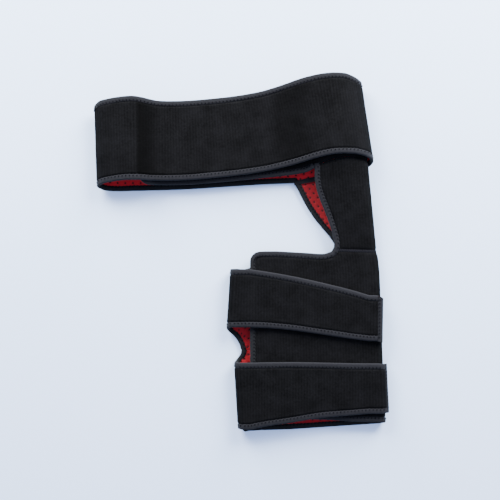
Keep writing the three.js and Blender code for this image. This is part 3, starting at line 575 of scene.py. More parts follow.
def laid_flat(grid, middle):
    """Flat measures of a folded grid: round from its middle column, and down."""
    around = np.cumsum(np.linalg.norm(np.diff(grid, axis=0), axis=2), axis=0)
    around = np.concatenate([np.zeros((1, grid.shape[1])), around])
    around -= around[middle : middle + 1]
    return np.stack([around, -grid[:, :, 1]], axis=-1)


def thigh_cloth():
    """The thigh panel's surface, with its columns where the hip panel's seam begins and ends."""
    front_corner, seam_end = HIP_CORNER
    rounded_columns = np.linspace(0, CORNER_RADIUS, 10)[:-1]
    free = np.concatenate([rounded_columns, np.linspace(CORNER_RADIUS, front_corner, OPEN_COLUMNS)])
    shares = np.linspace(0, 1, SEWN_COLUMNS)[1:]
    root = np.linspace(seam_end, ROOT_SEAM, OPEN_COLUMNS)[1:]
    # The levels lie closer together under the tapes of the upper edge and the hem
    above_hem = 250.0
    near_top = [0, 1.3, 2.6, 4, 5.5, 7, 8.5, 10, 11.5, 13, 14]
    levels = [(down / above_hem, 0.0) for down in near_top + list(np.linspace(18, above_hem - 2, 52))]
    levels += [(1.0, 0.3 + 1.4 * k) for k in range(9)]
    top_left = softened(FRONT_TOP, np.zeros(1))[0] * THIGH_LENGTH
    grid = []
    for level in levels:
        left, right = panel_line([0.0, THIGH_SPAN], FRONT_EDGES, FRONT_LAYER, level)
        gap = max(CORNER_RADIUS + left[1] + top_left, 0)
        inset = CORNER_RADIUS - math.sqrt(max(CORNER_RADIUS**2 - gap**2, 0))
        x_free = inset + free * (front_corner - inset) / front_corner
        turn = fold_centre(-right[1] / THIGH_LENGTH)
        x_front = front_corner + (turn - front_corner) * shares
        x_back = seam_end + (turn - seam_end) * shares[::-1]
        rounded = panel_line(x_free, FRONT_EDGES, FRONT_LAYER, level)
        front = panel_line(x_front, FRONT_EDGES, FRONT_LAYER, level)
        back = panel_line(np.concatenate([x_back, [seam_end], root]), BACK_EDGES, BACK_LAYER, level)
        fold = fold_points(turn, -front[-1, 1], -back[0, 1])
        grid.append(np.concatenate([rounded, front[:-1], fold, back[1:]]))
    grid = np.array(grid).transpose(1, 0, 2)
    corner = len(free) - 1
    back_corner = grid.shape[0] - 1 - len(root)
    middle = corner + len(shares) + FOLD_COLUMNS // 2
    return Cloth(grid, laid_flat(grid, middle)), corner, back_corner


def hip_cloth(belt, belt_marks, thigh, corner, back_corner):
    """The hip panel's surface, from the belt's lower edge down to the thigh panel's upper edge."""

    def seam(low, high, count, samples=200):
        a = np.interp(np.linspace(low, high, samples), belt_marks, np.arange(len(belt_marks)))
        line = belt.at(a, np.ones_like(a))
        passed = lengths(line)
        spots = np.linspace(0, passed[-1], count)
        return np.stack([np.interp(spots, passed, line[:, c]) for c in range(3)], axis=1)

    top_edge = thigh.grid[corner : back_corner + 1, 0]
    front_count = SEWN_COLUMNS
    back_count = len(top_edge) - front_count - FOLD_COLUMNS + 2
    top = np.concatenate(
        [
            seam(HIP_FRONT, FOLD_START, front_count)[:-1],
            seam(FOLD_START, FOLD_END, FOLD_COLUMNS),
            seam(FOLD_END, HIP_BACK, back_count)[1:],
        ]
    )
    down = np.concatenate([[0, 0.012, 0.025, 0.05], np.linspace(0.08, 0.94, 34), [0.96, 0.98, 0.99, 1.0]])
    bow = np.array(HIP_EDGE, float)
    spots = np.interp(down, bow[:, 0], np.arange(len(bow)))
    bows = through(np.column_stack([bow[:, 1:] * HIP_BOW, bow[:, 0] * HIP_SPREAD]), spots)
    full = 3
    k = np.arange(len(top_edge))
    front_weight = np.clip(1 - np.maximum(k - full, 0) / (front_count - 1 - full), 0, 1)
    back_weight = np.clip(1 - np.maximum(k[::-1] - full, 0) / (back_count - 1 - full), 0, 1)
    grid = top[:, None] * (1 - down[None, :, None]) + top_edge[:, None] * down[None, :, None]
    grid[:, :, 0] += bows[None, :, 0] * front_weight[:, None] + bows[None, :, 1] * back_weight[:, None]
    return Cloth(grid, laid_flat(grid, front_count + FOLD_COLUMNS // 2 - 1))


def even(tops, bottoms, marks):
    """Rows an even step apart along a strip, with the rows' places in the list that they came from."""
    sides = np.stack([tops, bottoms], axis=1)
    spots = resampled(sides.mean(axis=1), EVEN_STEP)
    order = np.arange(len(sides))
    rows = [[np.interp(spots, order, sides[:, s, c]) for c in range(3)] for s in (0, 1)]
    return Cloth(np.array(rows).transpose(2, 0, 1)), np.interp(spots, order, marks)


def strap_cloth(strap):
    """A strap's surface from the root, round the fold at the left, over the front and round the right fold,
    with its row at the corner where the straps part."""

    def point(along, down, height):
        return (along * THIGH_SPAN, -down * THIGH_LENGTH, height)

    joint = strap["joint"]
    corner = strap["corner"]
    fold_top, fold_bottom, top, bottom, pace = strap["fold"]
    sides = [[point(r[s], r[s + 2], BACK_LAYER) for r in strap["root"]] for s in (0, 1)]
    first = strap["over"][0]
    steps = 28
    folds = ([], [])
    for k in range(steps + 1):
        angle = math.pi * k / steps
        share = math.sin(min(pace * angle, math.pi / 2))
        for line, outside, start, stop in zip(folds, (fold_top, fold_bottom), (top, bottom), first[1:]):
            x = outside * THIGH_SPAN + OUTER_FACE + STRAP_RADIUS * (1 - math.sin(angle))
            z = BACK_LAYER + STRAP_RADIUS * (1 - math.cos(angle))
            line.append((x, -(start + (stop - start) * share) * THIGH_LENGTH, z))
    fine = 8
    found, marks = [], None
    for s in (0, 1):
        begun = corner if s == joint else 0
        curve = sides[s][begun:] + folds[s][:2]
        spots = np.arange(0, (len(sides[s]) - begun) * fine) / fine
        eased_root = through(curve, spots)
        straight = np.array(sides[s][: begun + 1])
        count = begun * fine
        lead = [np.interp(np.arange(count) / fine, np.arange(begun + 1), straight[:, c]) for c in range(3)]
        found.append([tuple(p) for p in np.column_stack(lead)] + [tuple(p) for p in eased_root] + folds[s])
        marks = list(np.arange(count) / fine) + list(begun + spots)
    marks += list(len(sides[0]) + np.arange(steps + 1) / steps)
    tops, bottoms = found
    over = np.array(strap["over"], float)
    apart = np.column_stack([over[:, 1:] * DOWN_SPREAD, over[:, 0] * ALONG_SPREAD])
    over_rows = 90
    for t, b, x in through(apart, np.linspace(0, len(over) - 1, over_rows)):
        along = x / ALONG_SPREAD
        tops.append(point(along, t / DOWN_SPREAD, OVER_LAYER))
        bottoms.append(point(along, b / DOWN_SPREAD, OVER_LAYER))
    end_top, end_bottom, reach, wrap = strap["end"]
    row_turn = 3
    turns = int(wrap / row_turn)
    last = over[-1]
    ends = ((tops, last[1], end_top, reach), (bottoms, last[2], end_bottom, 0.0))
    for k in range(turns + 1):
        angle = math.radians(wrap * k / turns)
        share = (k + 1) / (turns + 1)
        for line, start, stop, extra in ends:
            centre = fold_centre(stop) + extra * THIGH_SPAN
            x = centre + WRAP_RADIUS * math.sin(angle)
            z = FOLD_HEIGHT + WRAP_RADIUS * math.cos(angle)
            line.append((x, -(start + (stop - start) * share) * THIGH_LENGTH, z))
    marks += list(len(sides[0]) + 1 + np.arange(len(tops) - len(marks)))
    cloth, marks = even(tops, bottoms, marks)
    return cloth, float(np.interp(corner, marks, np.arange(len(marks))))


# Meshes
def eased(x):
    x = np.clip(x, 0, 1)
    return x * x * (3 - 2 * x)


def waves(flat, size, seed):
    """Soft unevenness of cloth, from -1 to 1, over its flat measures in millimetres."""
    u, v = flat[..., 0] / size, flat[..., 1] / size
    found = np.zeros_like(u)
    for k in range(1, 6):
        turn = GOLDEN_ANGLE * k + seed
        found += np.sin((u * math.cos(turn) + v * math.sin(turn)) * (1 + 0.37 * k) + 1.7 * k * seed) / k
    return found / WAVES_AT_MOST


def nearest(points, line):
    """Distance of each flat point from a line's flat points, a batch of the line at a time."""
    spots = points.reshape(-1, 2)
    best = np.full(len(spots), np.inf)
    batch = 200
    for k in range(0, len(line), batch):
        gap = spots[:, None, :] - line[None, k : k + batch, :]
        best = np.minimum(best, (gap**2).sum(-1).min(1))
    return np.sqrt(best).reshape(points.shape[:-1])


def flat_line(cloth, *paths):
    """Flat measures of points an even step apart on lines over a cloth."""
    found = []
    for path in paths:
        path = np.asarray(path, float)
        marks = resampled(cloth.at(path[:, 0], path[:, 1]), LINE_STEP)
        a, b = (np.interp(marks, np.arange(len(path)), path[:, c]) for c in (0, 1))
        found.append(cloth.flat_at(a, b))
    return np.concatenate(found)


def shift():
    """From the tables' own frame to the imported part's frame, in millimetres."""
    low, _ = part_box("thigh_panel")
    hem = column(BACK_BOTTOM, (ROOT_SEAM + CLEARANCE) / THIGH_SPAN) * THIGH_LENGTH - RIM
    return np.array([low.x / MM - RIM, low.y / MM + hem, 0.0])


SHIFT = shift()


def add_mesh(name, points, faces, uv, material, node):
    """A mesh from points in millimetres, faces of any size and a flat measure for each point."""
    points = (np.asarray(points, float) + SHIFT) * MM
    points[:, 2] = np.maximum(points[:, 2], 0.0)
    name += "_cloth" if node else ""
    mesh = bpy.data.meshes.new(name)
    mesh.from_pydata(points.tolist(), [], faces)
    layer = mesh.uv_layers.new(name="flat")
    index = np.empty(len(mesh.loops), np.int32)
    mesh.loops.foreach_get("vertex_index", index)
    layer.data.foreach_set("uv", (np.asarray(uv, float)[index] * MM).ravel())
    mesh.materials.append(material)
    piece = bpy.data.objects.new(name, mesh)
    bpy.context.scene.collection.objects.link(piece)
    mesh.update()
    bpy.ops.object.select_all(action="DESELECT")
    piece.select_set(True)
    bpy.context.view_layer.objects.active = piece
    bpy.ops.object.mode_set(mode="EDIT")
    bpy.ops.mesh.select_all(action="SELECT")
    bpy.ops.mesh.normals_make_consistent(inside=False)
    bpy.ops.object.mode_set(mode="OBJECT")
    bpy.ops.object.shade_smooth_by_angle(angle=SMOOTH_BELOW)
    piece.select_set(False)
    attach(piece, "root")
    if node:
        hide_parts(node)
    return piece


def slab(name, cloth, a, b, low, high, material, node):
    """A closed sheet between two heights over a cloth, on a grid of places."""
    a, b = np.broadcast_arrays(a, b)
    rows, columns = a.shape
    over, under = cloth.at(a, b, high), cloth.at(a, b, low)
    flat = cloth.flat_at(a, b)
    points = np.concatenate([over.reshape(-1, 3), under.reshape(-1, 3)])
    uv = np.concatenate([flat.reshape(-1, 2), flat.reshape(-1, 2)])
    top = np.arange(rows * columns).reshape(rows, columns)
    base = top + rows * columns
    q = np.stack([top[:-1, :-1], top[:-1, 1:], top[1:, 1:], top[1:, :-1]], -1).reshape(-1, 4)
    r = np.stack([base[:-1, :-1], base[1:, :-1], base[1:, 1:], base[:-1, 1:]], -1).reshape(-1, 4)
    round_grid = [lambda g: g[:, 0], lambda g: g[-1], lambda g: g[::-1, -1], lambda g: g[0, ::-1]]
    walls = []
    for side in round_grid:
        t, u = side(top), side(base)
        walls.append(np.stack([t[:-1], t[1:], u[1:], u[:-1]], -1))
    faces = np.concatenate([q, r] + walls).tolist()
    return add_mesh(name, points, faces, uv, material, node)


def rings_mesh(name, rings, lines, material, node):
    """A closed body swept through rings of points; lines holds each ring's flat measures."""
    count, size = rings.shape[:2]
    points = rings.reshape(-1, 3)
    spot = np.arange(count * size).reshape(count, size)
    after = np.roll(spot, -1, axis=1)
    faces = np.stack([spot[:-1], after[:-1], after[1:], spot[1:]], -1).reshape(-1, 4).tolist()
    faces.append(spot[0][::-1].tolist())
    faces.append(spot[-1].tolist())
    return add_mesh(name, points, faces, lines.reshape(-1, 2), material, node)


# The tape's section round an edge: how far in from the edge and how high, in millimetres. The last three
# points are the inside of the fold, below and above, and the upper inner rim.
TAPE_PROFILE = [
    (8.5, 1.5),
    (8.25, 1.95),
    (7.4, 2.18),
    (5.0, 2.42),
    (2.4, 2.4),
    (1.0, 2.08),
    (0.3, 1.35),
    (0.05, 0.4),
    (0.05, -0.4),
    (0.3, -1.35),
    (1.0, -2.08),
    (2.4, -2.4),
    (5.0, -2.42),
    (7.4, -2.18),
    (8.25, -1.95),
    (8.5, -1.5),
    (8.3, -1.28),
    (1.15, -1.2),
    (1.15, 1.2),
    (8.3, 1.28),
]


def note(piece, name, values):
    """Keep a value for each of a piece's points, for its finish."""
    piece.data.attributes.new(name, "FLOAT", "POINT").data.foreach_set("value", values)


def tape(name, edge, material, pitch, shade):
    """Tape folded over an edge, its inner rims drawn in a little at every stitch. Its reverse is the darker
    side, and shade gives painted shade along the edge, where the face takes the reverse's darker colour."""
    passed = edge.passed
    drawn = 0.5 - 0.5 * np.cos(2 * math.pi * passed / pitch)
    uneven = 0.25 * np.sin(passed / 23.0) + 0.15 * np.sin(passed / 9.1 + 1)
    profile = np.array(TAPE_PROFILE)
    rails, lines = [], []
    for (reach, height), run in zip(profile, lengths(profile)):
        rim = eased((reach - 5.0) / 3.0)
        here = reach + (uneven - RIM_PINCH * drawn) * rim
        rails.append(edge.rail(here, height * (1 - RIM_DIP * drawn * rim)))
        lines.append(np.stack([passed, np.full_like(passed, run)], 1))
    piece = rings_mesh(name, np.stack(rails, 1), np.stack(lines, 1), material, name)
    reverse_and_shade = eased((0.9 - profile[:, 1]) / 1.6)
    reverse_and_shade[-3:] = (1.0, 1.0, 0.0)
    # The noted value marks the darker reverse, and the painted shade on the face where shade is given
    note(piece, "reverse_and_shade", np.maximum(reverse_and_shade[None, :], shade[:, None]).ravel())


# A stitch's arch: share of its length and rise as a share of the thread's radius
STITCH_SHAPE = [(0.0, -1.0), (0.12, 0.25), (0.5, 0.5), (0.88, 0.25), (1.0, -1.0)]
THREAD_SIDES = 5
THREAD_END = 0.8
TWIST_LENGTH = 3.5


def stitches(name, runs, thickness, material):
    """Threads lying between two rows of needle holes. runs holds (starts, ends, normals)."""
    starts, ends, normals = (np.concatenate([run[k] for run in runs]) for k in range(3))
    way = unit(ends - starts)
    side = unit(np.cross(way, unit(normals)))
    lift = unit(np.cross(side, way))
    radius = thickness / 2
    rings = []
    for share, rise in STITCH_SHAPE:
        centre = starts + (ends - starts) * share + lift * (rise * radius)
        slim = THREAD_END if share in (0.0, 1.0) else 1.0
        for k in range(THREAD_SIDES):
            angle = 2 * math.pi * k / THREAD_SIDES
            rings.append(centre + radius * slim * (math.cos(angle) * side + math.sin(angle) * lift))
    points = np.stack(rings, 1)
    count, size = points.shape[:2]
    last = size - THREAD_SIDES
    around = np.arange(THREAD_SIDES)
    after = np.roll(around, -1)
    ring = np.arange(0, last, THREAD_SIDES)[:, None]
    low, high = ring + around, ring + after
    one = np.stack([low, high, high + THREAD_SIDES, low + THREAD_SIDES], -1).reshape(-1, 4)
    first = np.arange(count)[:, None] * size
    quads = (one[None] + first[:, :, None]).reshape(-1, 4).tolist()
    caps = np.stack([first + around[::-1], first + last + around], 1).reshape(-1, THREAD_SIDES).tolist()
    uv = np.zeros((count * size, 2))
    spots = np.repeat([share for share, _ in STITCH_SHAPE], THREAD_SIDES)
    uv[:, 0] = np.tile(spots * TWIST_LENGTH, count)
    add_mesh(name, points.reshape(-1, 3), quads + caps, uv, material, None)


def bars(edge, pitch, near, far, start):
    """Slanted stitches beside an edge, one a pitch, between two lines, each given as (reach, height)."""
    spots = np.arange(start + pitch, edge.passed[-1] - pitch / 2, pitch)
    points, normals = [], []
    for (reach, height), lean in ((near, -STITCH_LEAN / 2), (far, STITCH_LEAN / 2)):
        rail = edge.rail(reach, height)
        above = edge.rail(reach, height + math.copysign(1.0, height))
        points.append(edge.read(rail, spots + lean))
        normals.append(edge.read(above, spots + lean) - points[-1])
    return points[0], points[1], normals[0] + normals[1]


# The cut shapes: edges of every cloth
class Shapes:
    """All surfaces and edges, worked out once."""

    def __init__(self):
        self.belt, marks = belt_cloth()
        self.thigh, corner, back_corner = thigh_cloth()
        self.corner, self.back_corner = corner, back_corner
        self.hip = hip_cloth(self.belt, marks, self.thigh, corner, back_corner)
        self.upper, self.upper_corner = strap_cloth(UPPER_STRAP)
        self.lower, self.lower_corner = strap_cloth(LOWER_STRAP)
        index = np.arange(len(marks))
        self.hip_front = np.interp(HIP_FRONT, marks, index)
        self.hip_back = np.interp(HIP_BACK, marks, index)
        self.fold_end = np.interp(FOLD_END, marks, index)
        self.left_turn = np.interp(LEFT_TURN, marks, index)
        self.right_turn = np.interp(RIGHT_TURN, marks, index)

    @staticmethod
    def along(start, stop, b):
        """A path along a cloth at a fixed place across it."""
        inside = np.arange(math.ceil(min(start, stop) + 0.01), math.floor(max(start, stop) - 0.01) + 1)
        if stop < start:
            inside = inside[::-1]
        a = np.concatenate([[start], inside, [stop]])
        return np.column_stack([a, np.full(len(a), float(b))])

    @staticmethod
    def down(cloth, a, start=0.0, stop=None):
        """A path across a cloth at a fixed place along it."""
        stop = cloth.grid.shape[1] - 1.0 if stop is None else stop
        inside = np.arange(math.ceil(start + 0.01), math.floor(stop - 0.01) + 1)
        b = np.concatenate([[start], inside, [stop]])
        return np.column_stack([np.full(len(b), float(a)), b])

    @staticmethod
    def rounded_end(cloth):
        """The strip's first end, from its upper edge down and round its lower corner."""
        straight = np.linspace(0, 1 - END_CORNER / BELT_WIDTH, 24)
        angle = np.linspace(0, math.pi / 2, 16)[1:]
        a = cloth.place(END_CORNER * (1 - np.cos(angle)))
        b = 1 - END_CORNER * (1 - np.sin(angle)) / BELT_WIDTH
        return np.concatenate([np.column_stack([0 * straight, straight]), np.column_stack([a, b])])

    @staticmethod
    def near_end(cloth):
        """The place where tape along a cloth stops short of the tape across its end."""
        return cloth.place(cloth.places[-1] - PAST_TAPE)

    def edges(self):
        """Every taped edge, by the name of its tape."""
        belt, thigh, hip, upper, lower = self.belt, self.thigh, self.hip, self.upper, self.lower
        first, last = belt.place(PAST_TAPE), self.near_end(belt)
        end = len(belt.grid) - 1.0
        rows = thigh.grid.shape[1] - 1.0
        hem_gap = np.interp(thigh.flat[0, -1, 1] - PAST_TAPE, thigh.flat[0, :, 1], np.arange(rows + 1))
        lead_in = [(self.hip_front, 1 - short / BELT_WIDTH) for short in (6.5, 1.0)]
        found = {
            "belt_upper_binding": [(belt, self.along(first, last, 0), -1)],
            "belt_inner_lower_binding": [
                (belt, self.along(belt.place(END_CORNER + CLEARANCE), self.hip_front + 1.0, 1), 1)
            ],
            "belt_lower_binding": [(belt, self.along(self.hip_back + CORNER_ROWS + 0.1, last, 1), 1)],
            "belt_inner_end_binding": [(belt, self.rounded_end(belt), 1)],
            "belt_tail_end_binding": [(belt, np.array([(end, k / 8) for k in range(9)]), -1)],
            "front_edge_binding": [
                (belt, lead_in, 1),
                (hip, self.down(hip, 0, 0.1), 1),
                (thigh, self.along(float(self.corner), 0.0, 0), 1),
                (thigh, self.down(thigh, 0, 0.0, hem_gap), 1),
            ],
            "back_edge_binding": [
                (belt, self.along(self.hip_back + CORNER_ROWS, self.hip_back + 0.1, 1), -1),
                (hip, self.down(hip, hip.grid.shape[0] - 1, 0.1), -1),
                (thigh, self.along(float(self.back_corner), thigh.grid.shape[0] - 1.0, 0), -1),
            ],
            "thigh_bottom_binding": [(thigh, self.along(0.0, thigh.grid.shape[0] - 1.0, rows), 1)],
            "upper_strap_top_binding": [(upper, self.along(0.0, self.near_end(upper), 0), -1)],
            "lower_strap_bottom_binding": [(lower, self.along(0.0, self.near_end(lower), 1), 1)],
            "notch_binding": [
                (upper, self.along(self.near_end(upper), self.upper_corner, 1), -1),
                (lower, self.along(self.lower_corner, self.near_end(lower), 0), -1),
            ],
        }
        edges = {name: Edge(parts) for name, parts in found.items()}
        for name, cloth in (("upper_strap", upper), ("lower_strap", lower)):
            stop = len(cloth.grid) - 1.0
            edges[name + "_end_binding"] = Edge([(cloth, [(stop, 0.0), (stop, 1.0)], -1)], bent=True)
        return edges


def taped_rim(a):
    """How far in the padded cloth starts at a taped edge."""
    return np.full(a.shape, RIM)


def strip_grid(cloth, start, top_rim, bottom_rim):
    """Places over a strip from a start, where top_rim and bottom_rim give how far in each side begins."""
    total = cloth.places[-1]
    a = cloth.place(np.linspace(start, total - RIM, int((total - start - RIM) / ROW_STEP)))
    width = np.interp(a, np.arange(len(cloth.grid)), cloth.flat[:, -1, 1])
    top = top_rim(a)[:, None] + STRIP_LANES
    bottom = width[:, None] - bottom_rim(a)[:, None] - STRIP_LANES[::-1]
    share = np.linspace(0, 1, MIDDLE_LANES + 1)[1:-1]
    middle = top[:, -1:] * (1 - share) + bottom[:, :1] * share
    b = np.concatenate([top, middle, bottom], axis=1) / width[:, None]
    return np.repeat(a[:, None], b.shape[1], axis=1), b


def laminate(name, cloth, a, b, bound, sewn, seed):
    """The padded shell and its lining: thinner under the tapes, pinched at the seams, a little uneven."""
    flat = cloth.flat_at(a, b)
    to_bound, to_sewn = nearest(flat, bound), nearest(flat, sewn)
    full = SHELL_AT_EDGE + (SHELL - SHELL_AT_EDGE) * eased((to_bound - SWELL_START) / SWELL_LENGTH)
    full *= SHELL_PINCHED + (1 - SHELL_PINCHED) * eased(to_sewn / SHELL_PINCH)
    clear = eased((to_bound - WAVES_START) / WAVES_FADE)
    full -= clear * SHELL_WAVE * (1 + waves(flat, SHELL_WAVE_SIZE, seed))
    low = np.full(a.shape, HALF_GAP)
    shell = slab(name, cloth, a, b, low, low + full, WORK["shell"], name)
    inner = LINING * (LINING_PINCHED + (1 - LINING_PINCHED) * eased(to_sewn / LINING_PINCH))
    dip = clear * LINING_WAVE * (1 + waves(flat, LINING_WAVE_SIZE, seed + 1))
    name += "_lining"
    lining = slab(name, cloth, a, b, dip - inner - low, -low, WORK["lining"], name)
    return shell, lining


def surface(cloth, a, b):
    """Area of a cloth over a grid of places, in square metres."""
    p = cloth.at(a, b)
    one = np.cross(p[1:, :-1] - p[:-1, :-1], p[:-1, 1:] - p[:-1, :-1])
    two = np.cross(p[1:, :-1] - p[1:, 1:], p[:-1, 1:] - p[1:, 1:])
    return float((np.linalg.norm(one, axis=-1) + np.linalg.norm(two, axis=-1)).sum() / 2 * MM * MM)


# Finishes
SHEEN_ROUGHNESS = 0.55


def effect(name, inputs, outputs):
    """An empty shared effect with named inputs (name, type, default) and outputs (name, type)."""
    tree = bpy.data.node_groups.new(name, "ShaderNodeTree")
    for label, kind, default in inputs:
        socket = tree.interface.new_socket(label, in_out="INPUT", socket_type=kind)
        if default is not None:
            socket.default_value = default
    for label, kind in outputs:
        tree.interface.new_socket(label, in_out="OUTPUT", socket_type=kind)
    return tree, tree.nodes.new("NodeGroupInput"), tree.nodes.new("NodeGroupOutput")


def node(tree, kind, inputs=None, **options):
    """A node with its options set, and its inputs linked from sockets or set to values."""
    made = tree.nodes.new(kind)
    for key, value in options.items():
        setattr(made, key, value)
    for key, value in (inputs or {}).items():
        if isinstance(value, bpy.types.NodeSocket):
            tree.links.new(value, made.inputs[key])
        else:
            made.inputs[key].default_value = value
    return made


def maths(tree, operation, *values):
    return node(tree, "ShaderNodeMath", dict(enumerate(values)), operation=operation).outputs[0]


def noise(tree, place, scale, detail, roughness=0.5):
    """Soft noise, from 0 to 1."""
    given = {"Vector": place, "Scale": scale, "Detail": detail, "Roughness": roughness}
    return node(tree, "ShaderNodeTexNoise", given).outputs["Fac"]


def spread(tree, value, low, high, start=0.0, stop=1.0):
    """A value's share of the way from low to high, put out between start and stop."""
    given = {"Value": value, "From Min": low, "From Max": high, "To Min": start, "To Max": stop}
    return node(tree, "ShaderNodeMapRange", given).outputs["Result"]


def blend(tree, first, first_share, second, second_share):
    """The weighted sum of two values."""
    one = maths(tree, "MULTIPLY", first, first_share)
    return maths(tree, "ADD", one, maths(tree, "MULTIPLY", second, second_share))


def pile_effect():
    """Brushed loops: a felt-like grain with slow patches of raised and flattened pile."""
    tree, given, result = effect(
        "brushed_loops",
        [
            ("Place", "NodeSocketVector", None),
            ("Grain", "NodeSocketFloat", 900.0),
            ("Patches", "NodeSocketFloat", 45.0),
        ],
        [("Shade", "NodeSocketFloat"), ("Height", "NodeSocketFloat")],
    )
    place, grain = given.outputs["Place"], given.outputs["Grain"]
    fine = noise(tree, place, grain, 3.0, 0.7)
    tufts = noise(tree, place, maths(tree, "MULTIPLY", grain, 0.33), 2.0, 0.6)
    slow = noise(tree, place, given.outputs["Patches"], 3.0)
    height = blend(tree, fine, 0.55, tufts, 0.45)
    tree.links.new(blend(tree, height, 0.65, slow, 0.35), result.inputs["Shade"])
    tree.links.new(height, result.inputs["Height"])
    return tree


def weave_effect():
    """Plain weave over flat measures, its threads a set distance apart."""
    tree, given, result = effect(
        "plain_weave",
        [
            ("Flat", "NodeSocketVector", None),
            ("Along", "NodeSocketFloat", 0.0011),
            ("Across", "NodeSocketFloat", 0.0009),
        ],
        [("Shade", "NodeSocketFloat"), ("Height", "NodeSocketFloat")],
    )
    flat = given.outputs["Flat"]
    parts = node(tree, "ShaderNodeSeparateXYZ", {"Vector": flat})

    def turns(axis, pitch):
        return maths(tree, "MULTIPLY", maths(tree, "DIVIDE", parts.outputs[axis], pitch), 2 * math.pi)

    u, v = turns("X", given.outputs["Along"]), turns("Y", given.outputs["Across"])
    wave = maths(tree, "MULTIPLY", maths(tree, "SINE", u), maths(tree, "SINE", v))
    ribs = maths(tree, "ABSOLUTE", maths(tree, "SINE", maths(tree, "MULTIPLY", u, 0.5)))
    height = blend(tree, wave, 0.35, ribs, 0.5)
    shade = blend(tree, height, 0.5, noise(tree, flat, 260.0, 3.0), 0.6)
    tree.links.new(shade, result.inputs["Shade"])
    tree.links.new(height, result.inputs["Height"])
    return tree


def holes_effect():
    """Breathing holes in staggered rows over flat measures: 1 in a hole, 0 on the cloth."""
    tree, given, result = effect(
        "breathing_holes",
        [
            ("Flat", "NodeSocketVector", None),
            ("Row", "NodeSocketFloat", 0.013),
            ("Gap", "NodeSocketFloat", 0.0115),
            ("Radius", "NodeSocketFloat", 0.0013),
        ],
        [("Hole", "NodeSocketFloat"), ("Rim", "NodeSocketFloat")],
    )
    parts = node(tree, "ShaderNodeSeparateXYZ", {"Vector": given.outputs["Flat"]})

    def squared(axis, pitch, offset):
        place = maths(tree, "ADD", maths(tree, "DIVIDE", parts.outputs[axis], pitch), offset)
        away = maths(tree, "MULTIPLY", maths(tree, "SUBTRACT", maths(tree, "FRACT", place), 0.5), pitch)
        return maths(tree, "MULTIPLY", away, away)

    def lattice(offset):
        across = squared("X", given.outputs["Gap"], offset)
        down = squared("Y", given.outputs["Row"], offset)
        return maths(tree, "SQRT", maths(tree, "ADD", across, down))

    away = maths(tree, "MINIMUM", lattice(0.0), lattice(0.5))
    share = maths(tree, "DIVIDE", away, given.outputs["Radius"])
    tree.links.new(spread(tree, share, 0.8, 1.15, 1.0, 0.0), result.inputs["Hole"])
    tree.links.new(spread(tree, share, 1.0, 2.2, 1.0, 0.0), result.inputs["Rim"])
    return tree


def finish(name, roughness, sheen, tint=None, specular=0.1):
    """A new cloth-like material, its node tree and its shader."""
    material = bpy.data.materials.new(name)
    material.use_nodes = True
    tree = material.node_tree
    shader = tree.nodes["Principled BSDF"]
    shader.inputs["Roughness"].default_value = roughness
    shader.inputs["Sheen Weight"].default_value = sheen
    shader.inputs["Sheen Roughness"].default_value = SHEEN_ROUGHNESS
    shader.inputs["Specular IOR Level"].default_value = specular
    if tint:
        shader.inputs["Sheen Tint"].default_value = tint
    return material, tree, shader


def mix_colour(tree, share, first, second):
    """The first colour turned into the second by a share."""
    made = tree.nodes.new("ShaderNodeMix")
    made.data_type = "RGBA"
    for socket, value in ((made.inputs[0], share), (made.inputs[6], first), (made.inputs[7], second)):
        if isinstance(value, bpy.types.NodeSocket):
            tree.links.new(value, socket)
        else:
            socket.default_value = value
    return made.outputs[2]


def times(colour, factor):
    """A colour made lighter or darker."""
    return (colour[0] * factor, colour[1] * factor, colour[2] * factor, 1.0)


def bumped(tree, shader, height, distance, strength):
    """Give a shader's surface a fine relief."""
    made = node(tree, "ShaderNodeBump", {"Height": height, "Distance": distance, "Strength": strength})
    tree.links.new(made.outputs["Normal"], shader.inputs["Normal"])


def object_place(tree):
    return node(tree, "ShaderNodeTexCoord").outputs["Object"]


def flat_place(tree):
    return node(tree, "ShaderNodeUVMap", uv_map="flat").outputs["UV"]


def noted(tree, name):
    return node(tree, "ShaderNodeAttribute", attribute_name=name).outputs["Fac"]


def shared(tree, effect_tree, inputs):
    return node(tree, "ShaderNodeGroup", inputs, node_tree=effect_tree).outputs


def loop_shell(chosen, pile):
    """The loop-faced cloth, with faint ribs, and with painted shade darker and painted highlight lighter
    where the noted values give them.
    """
    material, tree, shader = finish("black_loop_shell", 0.95, 0.0, specular=0.05)
    grain = shared(tree, pile, {"Place": object_place(tree), "Grain": chosen.pile_grain})
    colour = tuple(chosen.shell_colour)
    along = node(tree, "ShaderNodeSeparateXYZ", {"Vector": flat_place(tree)}).outputs["X"]
    ribs = maths(tree, "SINE", maths(tree, "MULTIPLY", along, 2 * math.pi / chosen.rib_gap))
    shade = maths(tree, "ADD", grain["Shade"], maths(tree, "MULTIPLY", ribs, 0.05))
    share = spread(tree, shade, 0.36, 0.64)
    cloth = mix_colour(tree, share, times(colour, 0.3), times(colour, 2.0))
    # Painted shade: the colour goes towards black where the noted value is below 0; painted highlight: it
    # goes lighter where the value is above 0
    painted_light_and_shade = noted(tree, "painted_light_and_shade")
    shade_share = spread(tree, maths(tree, "MULTIPLY", painted_light_and_shade, -1.0), 0.0, 1.0)
    with_painted_shade = mix_colour(tree, shade_share, cloth, (0, 0, 0, 1))
    with_painted_light = mix_colour(tree, spread(tree, painted_light_and_shade, 0.0, 1.0), with_painted_shade, times(colour, 3.0))
    tree.links.new(with_painted_light, shader.inputs["Base Color"])
    bumped(tree, shader, grain["Height"], 0.0011, 0.75)
    return material


